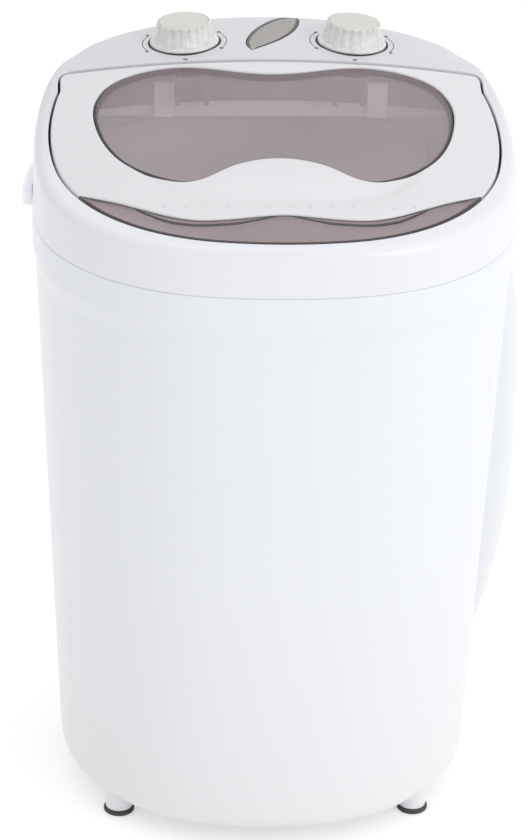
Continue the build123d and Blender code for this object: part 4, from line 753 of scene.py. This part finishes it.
for i, (x, tilt) in enumerate(KNOBS):
    cutters.append(put("c5%d" % i, *lathe([(0, -2.3), (28.3, -2.3), (28.3, 8), (0, 8)], 96, matrix=knob_matrix(x, tilt))))
LEAF_LEFT = [(-13.6, 96.6), (-17.2, 105.5), (-17.4, 117.5), (-14.0, 132), (-7.0, 148), (3.5, 163.0), (13.5, 170.2), (24.6, 170.8)]
LEAF_RIGHT = [(24.6, 170.8), (26.4, 163.0), (24.4, 149.5), (19.6, 136), (10.4, 120.8), (-2.4, 106.8), (-13.6, 96.6)]
side_l = smooth_loop(LEAF_LEFT, 44, closed=False)
side_r = smooth_loop(LEAF_RIGHT, 44, closed=False)
leaf_line = np.concatenate([side_r[::-1][:-1], side_l[::-1][:-1]])
cutters.append(put("c6", *prism(leaf_line, 545.0, 566.0)))
cut(top, cutters, 38)
# painted shade: the faces sunk 4 to 14.3 mm in the band round the lid, down in the gap, take the near-black second
# material
spots = np.array([p.center for p in top.data.polygons]) * 1000
azim, dist = np.arctan2(spots[:, 1], spots[:, 0]), np.hypot(spots[:, 0], spots[:, 1])
sunk = slope_z(spots[:, 0], spots[:, 1]) - spots[:, 2]
gap_painted_shade = (sunk > 4.0) & (sunk < 14.3) & (dist < lid_r(2.2, azim)) & (dist > lid_r(-7.0, azim))
for p, dark in zip(top.data.polygons, gap_painted_shade):
    p.material_index = int(dark)
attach(top, "cabinet")
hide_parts("top_frame")


def plate_yz(outline, x0, x1):
    """Points and faces of a plate cut from a (y, z) outline, standing between two x planes."""
    q = np.asarray(outline, float)
    rings = [np.concatenate([np.full((len(q), 1), x), q], 1) for x in (x0, x1)]
    return loft(rings, closed=False, cap=True)


def arc_yz(cy, cz, r, a0, a1, n):
    return [(cy + r * math.cos(rad(a)), cz + r * math.sin(rad(a))) for a in np.linspace(a0, a1, n)]


# wall behind the lid with its pillars and hinge ears
wall_rings = []
for x in np.linspace(-158, 158, 61):
    hi, lo = float(slope_z(x, 88.3)) - 3.1, float(slope_z(x, 88.3)) - 36.0
    wall_rings.append(np.array([(x, 87.0, lo), (x, 89.6, lo), (x, 89.6, hi), (x, 87.0, hi)]))
# painted shade: the wall behind the lid is near-black for the shadow it stands in
shade_wall = put("hinge_wall", *loft(wall_rings, closed=False, cap=True), mats=[M["shade_grey"]])
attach(shade_wall, "cabinet")
blocks = []
for x in (-80.5, 83.0):
    line = np.array([(x - 8, 87.2), (x - 8, 85.6), (x - 7.2, 84.8), (x + 7.2, 84.8), (x + 8, 85.6), (x + 8, 87.2)])
    blocks.append(prism(line, 509.0, 537.0))
ear = ([(68.6, 524.5), (87.4, 524.5), (87.4, 531.0), (74.4, 531.0), (73.6, 531.8)] + arc_yz(72, 545, 3.4, -62, 180, 22)
       + [(68.6, 544.0), (68.6, 529.0)])
# painted light: the pillars take the brighter white
back_wall = put("box_pillars", *joined(*blocks), mats=[M["pillar_white"]])
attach(back_wall, "cabinet")
ears = []
for sx in (-1, 1):
    for dx in (-11.0, 11.0):
        ears.append(plate_yz(ear, sx * 60 + dx - 2.0, sx * 60 + dx + 2.0))
# painted shade: the hinge ears take the near-black material of the shadowed wall
ear_obj = put("hinge_ears", *joined(*ears), mats=[M["shade_grey"]])
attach(ear_obj, "cabinet")

# ------------------------------------------------------------------------ lid
WINDOW_HALF = [(0, -60.8), (12, -62), (22, -64.9), (32.5, -69.4), (42, -75.3), (50, -80.2), (58, -83.6), (66, -84.6),
               (75, -83.0), (86, -77.6), (97, -69.8), (108, -59.5), (117.5, -46.5), (125, -31), (130.8, -13), (134.6, 8),
               (135.2, 25), (132.8, 39), (127, 52.5), (118, 62.5), (106, 69.5), (93, 73.8), (80, 75.8), (67, 75.9),
               (55, 74.2), (45, 71.8), (35, 69.1), (20, 65.4), (0, 63.3)]
GRIP_EDGE = [(0, -129.8), (18, -131.6), (38, -134.2), (60, -134.1), (80, -127.5), (102, -114.6), (118, -104.4),
             (134, -95.6), (152, -88.0)]


def by_angle(line, closed=True):
    """Radius of a plan line about the middle, as a function of azimuth."""
    a = np.unwrap(np.arctan2(line[:, 1], line[:, 0]))
    r = np.hypot(line[:, 0], line[:, 1])
    if closed:
        a, r = np.append(a, a[0] + TAU), np.append(r, r[0])

    def value(th):
        return np.interp(a[0] + np.mod(th - a[0], TAU), a, r, right=None if closed else 1e3)
    return value


window_line = smooth_loop(WINDOW_HALF + [(-x, y) for x, y in WINDOW_HALF[-2:0:-1]], 900)
window_r = by_angle(window_line)
grip_line = smooth_loop([(-x, y) for x, y in GRIP_EDGE[:0:-1]] + GRIP_EDGE, 400, closed=False)
grip_r = by_angle(grip_line, False)

# the two ends of the grip, where its rear edge meets the lid's outline
probe = np.linspace(rad(-90), rad(-20), 4001)
inside = grip_r(probe) < lid_r(0.0, probe)
TIP = float(probe[np.nonzero(inside)[0][-1]])

TL = columns([rad(27.2), rad(152.8), TIP, math.pi - TIP, rad(-125), rad(-55), rad(58), rad(122)], 560, 2.2, 0.07)
cl, sl = np.cos(TL), np.sin(TL)
out_r = np.minimum(lid_r(0.0, TL), grip_r(TL))
in_grip = grip_r(TL) < lid_r(0.0, TL)
win_r = window_r(TL)


def lid_top(x, y):
    """The lid's moulded top: its slope, the bevel at the rear, the swell in front of the window and the dished margin."""
    z = slope_z(x, y) - np.maximum(y - 79.0, 0.0)
    line = -98.5 + 0.00028 * x * x + 0.0000004 * x ** 4
    front = y - line
    s = np.clip(front / 32.0, 0.0, 1.0)
    swell = 3.0 * s * (2 - s) * (1 - step(34, 92, np.abs(x)))
    groove = 2.0 * np.exp(-((front + 12.0) / 8.0) ** 2) * (1 - step(80, 118, np.abs(x)))
    return z + np.where(y < 0, swell - groove, 0.0)


def lid_point(r, drop):
    x, y = r * cl, r * sl
    return polar(r, TL, lid_top(x, y) - drop)


rings = []
edge_in, edge_out = 1.3, 1.4
a0, a1 = win_r + edge_in, out_r - edge_out
gap_mm = a1 - a0
tight = np.minimum(1.0, gap_mm / 1.0)
rings.append(polar(win_r, TL, slope_z(win_r * cl, win_r * sl) - 3.0))
rings.append(lid_point(win_r, 1.3))
for a in (30, 60):
    rings.append(lid_point(win_r + edge_in * (1 - math.cos(rad(a))), 1.3 * (1 - math.sin(rad(a)))))
for t in np.linspace(0, 1, 40):
    rings.append(lid_point(a0 + gap_mm * t, 0.0))
for a in (60, 30, 0):
    rings.append(lid_point(out_r - edge_out * (1 - math.cos(rad(a))), 1.4 * (1 - math.sin(rad(a)))))
xo, yo = out_r * cl, out_r * sl
notch = np.zeros_like(TL)
for sx in (-1, 1):
    for dx in (-11.2, 11.2):
        notch = np.maximum(notch, (np.abs(xo - sx * 60 - dx) < 3.8) * (yo > 60))
deep = np.where(yo > 50, 7.0, 9.0)
deep = np.where(in_grip | (notch > 0), 3.2, deep)
rings.append(polar(out_r, TL, slope_z(xo, yo) - np.maximum(deep - 0.5, 3.1)))
rings.append(polar(out_r - 0.5, TL, slope_z(xo, yo) - deep))
ri = out_r - 2.6
rings.append(polar(ri, TL, slope_z(ri * cl, ri * sl) - deep))
rings.append(polar(ri, TL, slope_z(ri * cl, ri * sl) - 3.0))
for t in (0.33, 0.66):
    r = np.maximum(ri * (1 - t) + win_r * t, win_r + 0.05)
    rings.append(polar(r, TL, slope_z(r * cl, r * sl) - 3.0))
lid_parts = [loft(rings)]
knuckle = ([(72, 540.8), (77, 540.8), (80.6, 544.0), (80.6, 552.6), (76.9, 552.6), (76.9, 549.9), (76.1, 549.1)]
           + arc_yz(72, 545, 4.2, 90, 270, 20)[:-1])
knuckles = [plate_yz(knuckle, sx * 60 - 8.4, sx * 60 + 8.4) for sx in (-1, 1)]
# painted shade: the lid's white hinge knuckles take the near-black material so they read as shadow behind the window
knuckle_obj = put("hinge_knuckles", *joined(*knuckles), mats=[M["shade_grey"]])
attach(knuckle_obj, "lid")
# small raised dots in front of the swell
for i, x in enumerate(np.linspace(-84, 96, 13)):
    y = -117.0 - (2.6 if i % 2 else 0.0) + 0.0003 * x * x
    z = float(lid_top(np.float64(x), np.float64(y)))
    dot = [(0, -0.6), (1.3, -0.6), (1.3, 0.0), (1.15, 0.35), (0.7, 0.62), (0, 0.72)]
    v, f = lathe(dot, 20)
    lid_parts.append((v + np.array([x, y, z]), f))
lid = put("lid_shell", *joined(*lid_parts), mats=[M["lid_white"]], sharp=40)
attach(lid, "lid")
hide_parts("lid_frame")

# smoked window
wr = win_r - 0.75
flange = np.where((np.abs(np.abs(win_r * cl) - 60) < 16) & (sl > 0), 0.6, 2.9)


def slope_ring(r, drop):
    return polar(r, TL, slope_z(r * cl, r * sl) - drop)


# painted shade: entries whose third number is 1 give the pane's edge and underside the near-black edge material, for
# the dark gap round the window
plan = [(0.35 * win_r, 5.0, 1), (0.7 * win_r, 5.0, 1), (win_r - 4.0, 5.0, 1), (win_r + flange, 5.0, 1), (win_r + flange, 3.15, 1),
        (wr, 3.15, 1), (wr, 1.9, 1), (wr - 0.25, 1.35, 1), (wr - 0.9, 1.1, 1), (wr - 1.7, 1.05, 0)]
plan[2] = (win_r - 4.0, 5.0, 1)
for t in np.linspace(0, 1, 16)[1:-1]:
    plan.append(((wr - 1.7) * (1 - t ** 0.8) + 0.1 * t, 1.05 - 0.5 * math.sin(t * math.pi / 2), 0))
rings = [slope_ring(r, d) for r, d, s in plan]
verts, faces = loft(rings, closed=False)
n, m = len(TL), len(rings)
slots = np.repeat([0 if j < 2 else plan[j][2] for j in range(m - 1)], n).tolist()
verts = np.concatenate([verts, [[0, 0, float(slope_z(0, 0)) - 5.0], [0, 0, float(slope_z(0, 0)) - 0.55]]])
faces += [[m * n, (i + 1) % n, i] for i in range(n)] + [[m * n + 1, (m - 1) * n + i, (m - 1) * n + (i + 1) % n] for i in range(n)]
slots += [0] * (2 * n)
window = put("window_pane", verts, faces, 40, [M["tinted_clear"], M["tinted_edge"]], slots)
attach(window, "lid")
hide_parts("lid_window")


def blade(a, b, marks, ground, limit):
    """Long thin solid between two plan lines; marks are (share, millimetres, drop) round its section."""
    w = np.maximum(np.linalg.norm(b - a, axis=1), 0.02)[:, None]
    u = (b - a) / w
    scale = np.minimum(1.0, w / limit)
    cols = []
    for share, mm, drop in marks:
        q = a + u * (share * w + mm * scale)
        d = drop if drop > 2.4 else drop * scale[:, 0] ** 0.5
        cols.append(np.concatenate([q, (ground(q[:, 0], q[:, 1]) - d)[:, None]], 1))
    rings = list(np.stack(cols, 1))
    return loft(rings, closed=False, cap=True)


def ribbon(path, width, ground, lift=0.08, deep=0.35):
    """Low strip lying on ground(x, y) along a plan line."""
    p = np.asarray(path, float)
    d = np.gradient(p, axis=0)
    d /= np.linalg.norm(d, axis=1)[:, None]
    side = np.stack([-d[:, 1], d[:, 0]], -1)
    w = np.broadcast_to(width, len(p))[:, None]
    cols = []
    for a, b in ((-0.5, -deep), (-0.5, lift * 0.3), (-0.3, lift), (0.3, lift), (0.5, lift * 0.3), (0.5, -deep)):
        q = p + side * w * a
        cols.append(np.concatenate([q, (ground(q[:, 0], q[:, 1]) + b)[:, None]], 1))
    return loft(list(np.stack(cols, 1)), closed=False, cap=True)


# crescent grip
tg = np.linspace(math.pi - TIP - TAU + 0.004, TIP - 0.004, 260)
ga = grip_r(tg)[:, None] * np.stack([np.cos(tg), np.sin(tg)], -1)
gb = lid_r(0.0, tg)[:, None] * np.stack([np.cos(tg), np.sin(tg)], -1)
marks = [(0, 0.35, 3.6), (0, 0.35, 1.6), (0, 0.6, 1.0), (0, 2.3, 0.8), (0.18, 0, 1.3), (0.34, 0, 1.75), (0.5, 0, 1.95), (0.66, 0, 1.8), (0.82, 0, 1.35),
         (1, -2.0, 0.9), (1, -0.6, 1.0), (1, 0, 1.6), (1, 0, 8.5), (1, -0.5, 9.0), (1, -2.6, 9.0), (1, -2.6, 3.6)]
verts, faces = blade(ga, gb, marks, slope_z, 9.0)
# painted shade: the grip's rear lip and front rounding take the near-black edge material
row = [1, 1, 1, 0, 0, 0, 0, 0, 0, 1, 1, 0, 0, 0, 0, 0]
slots = row * (len(tg) - 1) + [1, 1]
grip = put("grip_crescent", verts, faces, 50, [M["grip_clear"], M["tinted_edge"]], slots)
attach(grip, "lid")
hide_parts("lid_grip")


def grip_floor(x, y):
    """Height of the dished grip's top."""
    th = np.arctan2(y, x)
    g, l = grip_r(th), lid_r(0.0, th)
    t = np.clip((np.hypot(x, y) - g) / np.maximum(l - g, 0.5), 0, 1)
    return slope_z(x, y) - np.interp(t, [0.05, 0.18, 0.34, 0.5, 0.66, 0.82, 0.95], [0.8, 1.3, 1.75, 1.95, 1.8, 1.35, 0.9])


# painted shade: dark strips on the grip's floor behind its rear edge, for the rib under the smoked grip and the shadow
# it casts
rib_shadow_strips = []
for x0, x1, push in ((-104, -5, 6.0), (7, 104, 6.0)):
    xs = np.linspace(x0, x1, 60)
    at = np.arctan2(np.interp(xs, grip_line[:, 0], grip_line[:, 1]), xs)
    t = (xs - x0) / (x1 - x0)
    r = grip_r(at) + push * np.minimum(1, 0.35 + 0.9 * np.sin(np.pi * np.clip(t, 0.0, 1.0)))
    path = np.stack([r * np.cos(at), r * np.sin(at)], -1)
    rib_shadow_strips.append(ribbon(path, 0.4 + 2.2 * np.sin(np.pi * np.clip(t, 0.03, 0.97)) ** 0.5, grip_floor, 0.3, 0.4))
rib_shadows = put("grip_rib_shadows", *joined(*rib_shadow_strips), mats=[M["tinted_edge"]])
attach(rib_shadows, "lid")

# ---------------------------------------------------------------------- dials
KNOB = rounded([(3.02, -1.6), (6.5, -1.6), (6.5, 11.0), (9.5, 12.6), (18.0, 12.6), (22.0, -1.6), (26.6, -1.6), (26.6, 1.2),
                (25.6, 2.4), (23.5, 3.0), (20.9, 16.2), (20.3, 17.2), (19.5, 17.2), (19.5, 16.15), (3.02, 16.15)],
               [0, 0.3, 1, 1, 1.2, 0.3, 0.4, 0.7, 0.7, 0.5, 0.8, 0.3, 0.2, 0.2, 0], 3)
CAP = rounded([(0, 16.2), (19.2, 16.2), (19.2, 17.1), (18.4, 17.55), (0, 17.8)], [0, 0.2, 0.4, 2.0, 0], 3)
CAP = CAP[:-1] + [(r, 17.55 + 0.25 * (1 - (r / 18.0) ** 2)) for r in (14, 10, 6, 3)] + [(0, 17.8)]


def knob_mesh(x, tilt):
    th = np.arange(240) / 240 * TAU
    rings = []
    for r, h in KNOB:
        k = np.full_like(th, r)
        if 2.2 < h < 17.0 and r > 19.8:
            depth = 1.7 * float(step(2.6, 6.0, h) * (1 - 0.5 * step(15.8, 17.4, h)))
            k = r - depth * (1.0 - np.abs(np.cos(th * 10)) ** 0.8)
        rings.append(polar(k, th, h))
    v, f = loft(rings)
    m = knob_matrix(x, tilt)
    return v @ m[:3, :3].T + m[:3, 3], f


for (x, tilt), knob_name, cap_name, body in zip(KNOBS, ("wash_timer_knob", "mode_knob"), ("wash_timer_cap", "mode_cap"), ("timer_dial", "mode_dial")):
    k = put(knob_name + "_fluted", *knob_mesh(x, tilt), mats=[M["knob_clear"]], sharp=32)
    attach(k, body)
    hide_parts(knob_name)
    c = put(cap_name + "_domed", *lathe(CAP, 96, matrix=knob_matrix(x, tilt)), mats=[M["cap_ivory"]], sharp=40)
    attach(c, body)
    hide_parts(cap_name)

# painted shade: near-black rings at the foot of each dial recess, for the shadowed gap round the knob
gap_shadow_rings = []
for x, tilt in KNOBS:
    gap_shadow_ring = rounded([(26.72, -2.28), (28.27, -2.28), (28.27, -0.15), (27.6, 0.3), (27.0, 0.3), (26.72, 0.0)], [0, 0, 0.2, 0.3, 0.2, 0], 3)
    v, f = lathe(gap_shadow_ring, 120)
    m = knob_matrix(x, tilt)
    gap_shadow_rings.append((v @ m[:3, :3].T + m[:3, 3], f))
gap_shadow_ring_obj = put("dial_gap_shadow_rings", *joined(*gap_shadow_rings), mats=[M["shadow_gap"]])
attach(gap_shadow_ring_obj, "cabinet")

# printed marks round the dials
prints = []


def mark_arc(cx, cy, r, d0, d1, width):
    a = np.radians(np.linspace(d0, d1, 40))
    return ribbon(np.stack([cx + r * np.cos(a), cy + r * np.sin(a)], -1), width, deck_z, 0.04, 0.15)


for i, (x, tilt) in enumerate(KNOBS):
    prints.append(mark_arc(x, 119.5, 32.4, 148, 208, 0.8))
    prints.append(mark_arc(x, 119.5, 32.4, -29, 32, 0.8))
    for d in (146, 210, -31, 34, -90):
        px, py = x + 33.0 * math.cos(rad(d)), 119.5 + 33.0 * math.sin(rad(d))
        if -12 < d < 12:
            continue
        v, f = lathe([(0, -0.15), (2.1, -0.15), (2.1, 0.03), (0, 0.05)], 24)
        prints.append((v + np.array([px, py, float(deck_z(np.float64(px), np.float64(py)))]), f))
marks_obj = put("dial_marks", *joined(*prints), mats=[M["print_grey"]])
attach(marks_obj, "cabinet")

# indicator lens
la, lb = side_l, side_r[::-1]
marks = [(0, 0.45, 6.0), (0, 0.45, 0.9), (0, 0.8, 0.55), (0, 3.0, 0.4), (0.25, 0, 0.15), (0.5, 0, 0.05), (0.75, 0, 0.15), (1, -3.4, 0.4), (1, -0.8, 0.55),
         (1, -0.45, 0.9), (1, -0.45, 6.0)]
verts, faces = blade(la[1:-1], lb[1:-1], marks, deck_z, 6.0)
# painted shade: the lens's rim takes the near-black edge material
row = [1, 1, 1, 0, 0, 0, 0, 1, 1, 1, 1]
lens = put("indicator_lens_domed", verts, faces, 45, [M["leaf_clear"], M["tinted_edge"]], row * (len(la) - 3) + [1, 1])
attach(lens, "cabinet")
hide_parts("indicator_lens")

# -------------------------------------------------------------------- handles
def wall_x(y, z):
    """Outside of the rim band and the frame at a height, by y."""
    half = 181.1 if z < 475 else 181.1 - 3.6 * (z - 475.0) / 95.0
    th = np.linspace(rad(-5), rad(45), 400)
    r = reach(half, 34.3, 175.5, th)
    return np.interp(y, r * np.sin(th), r * np.cos(th))


def handle_mesh(sx):
    plan = [(170.0, 5.0), (183.0, 5.3), (187.2, 6.6), (188.9, 10.5), (188.6, 18.0), (187.6, 32.0), (185.0, 48.0), (180.4, 66.0), (174.0, 82.0), (166.0, 96.0)]
    path = smooth_loop(plan, 500, closed=False)
    path = path[path[:, 0] > wall_x(path[:, 1], 476.0) + 0.05]
    run = np.concatenate([[0], np.cumsum(np.linalg.norm(np.diff(path, axis=0), axis=1))])
    at = np.linspace(0, run[-1], 110)
    path = np.stack([np.interp(at, run, path[:, i]) for i in range(2)], -1)
    d = np.gradient(path, axis=0)
    d /= np.linalg.norm(d, axis=1)[:, None]
    inward = np.stack([-d[:, 1], d[:, 0]], -1)
    middle = np.array([176.0, 32.0])

    def at_inset(amount, z):
        to = middle - path
        q = path + inward * np.minimum(amount, 0.8 * np.linalg.norm(to, axis=1))[:, None]
        q[:, 0] = np.maximum(q[:, 0], wall_x(q[:, 1], z))
        q[:, 1] = np.maximum.accumulate(q[:, 1])
        return np.concatenate([q, np.full((len(q), 1), z)], 1)

    def on_wall(like, z):
        return np.stack([wall_x(like[:, 1], z), like[:, 1], np.full(len(like), z)], -1)

    low, high, r0, r1 = 468.3, 484.2, 2.5, 5.5
    cols = []
    for a in np.linspace(0, 90, 5):
        cols.append(at_inset(r0 * (1 - math.sin(rad(a))), low + r0 * (1 - math.cos(rad(a)))))
    for a in np.linspace(0, 90, 9):
        cols.append(at_inset(r1 * (1 - math.cos(rad(a))), high - r1 + r1 * math.sin(rad(a))))
    cols += [on_wall(cols[-1], high), on_wall(cols[0], low)]
    cols[-2][:, 0] = np.minimum(cols[-2][:, 0], cols[-3][:, 0])
    cols[-1][:, 0] = np.minimum(cols[-1][:, 0], cols[0][:, 0])
    v, f = loft(list(np.stack(cols, 1)), closed=False, cap=True)
    v[:, 0] *= sx
    return v, f


# painted light: the handles take the brighter white
for sx, name in ((-1, "left_handle"), (1, "right_handle")):
    h = put(name + "_lug", *handle_mesh(sx), mats=[M["lug_white"]], sharp=45)
    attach(h, "cabinet")
    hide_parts(name)

# --------------------------------------------------------------- studio floor
n = 64
size = 14.0
gx, gy = np.meshgrid(np.linspace(-size / 2, size / 2, n), np.linspace(-size / 2, size / 2, n), indexing="ij")
fv = np.stack([gx.ravel(), gy.ravel(), np.zeros(n * n)], -1)
ff = [(i * n + j, (i + 1) * n + j, (i + 1) * n + j + 1, i * n + j + 1) for i in range(n - 1) for j in range(n - 1)]
floor_mesh = bpy.data.meshes.new("studio_floor")
floor_mesh.from_pydata(fv.tolist(), [], ff)
floor = bpy.data.objects.new("studio_floor", floor_mesh)
scene.collection.objects.link(floor)
fm, nt, bsdf = new_mat("m_floor")
nt.links.new(ramp(nt, noise(nt, 0.6, 2.0, 0.4), [(0.3, (0.52, 0.52, 0.52)), (0.7, (0.55, 0.55, 0.55))]), bsdf.inputs["Base Color"])
bsdf.inputs["Emission Color"].default_value = (1.0, 1.0, 1.0, 1.0)
bsdf.inputs["Emission Strength"].default_value = 0.50
nt.links.new(spread(nt, noise(nt, 3.0, 3.0, 0.5), 0.6, 0.75), bsdf.inputs["Roughness"])
floor_mesh.materials.append(fm)

world = bpy.data.worlds.new("world")
scene.world = world
world.use_nodes = True
bg = world.node_tree.nodes["Background"]
bg.inputs["Color"].default_value = (1.0, 1.0, 1.0, 1.0)
wt = world.node_tree
side = wt.nodes.new("ShaderNodeSeparateXYZ")
wt.links.new(wt.nodes.new("ShaderNodeTexCoord").outputs["Generated"], side.inputs["Vector"])
lean = wt.nodes.new("ShaderNodeMapRange")
lean.inputs["From Min"].default_value = -1.0
lean.inputs["From Max"].default_value = 1.0
lean.inputs["To Min"].default_value = 0.84
lean.inputs["To Max"].default_value = 1.12
wt.links.new(side.outputs["X"], lean.inputs["Value"])
wt.links.new(lean.outputs["Result"], bg.inputs["Strength"])


def area(name, place, target, size, power, color=(1, 1, 1), size_y=None):
    data = bpy.data.lights.new(name, "AREA")
    data.energy = power
    data.color = color
    data.shape = "RECTANGLE"
    data.size = size
    data.size_y = size_y or size
    obj = bpy.data.objects.new(name, data)
    scene.collection.objects.link(obj)
    obj.location = place
    aim = Vector(target) - Vector(place)
    obj.rotation_mode = "QUATERNION"
    obj.rotation_quaternion = aim.to_track_quat("-Z", "Y")
    return obj


area("key", (1.9, -1.8, 1.7), (0, 0, 0.25), 1.5, 20.0)
area("fill", (-2.2, -1.4, 1.2), (0, 0, 0.25), 1.8, 1.5)
area("top", (0.0, 0.6, 2.6), (0, 0, 0.5), 1.4, 5.0)

scene.view_settings.view_transform = "Standard"
scene.view_settings.look = "None"
scene.view_settings.exposure = 0.0
scene.view_settings.gamma = 1.0
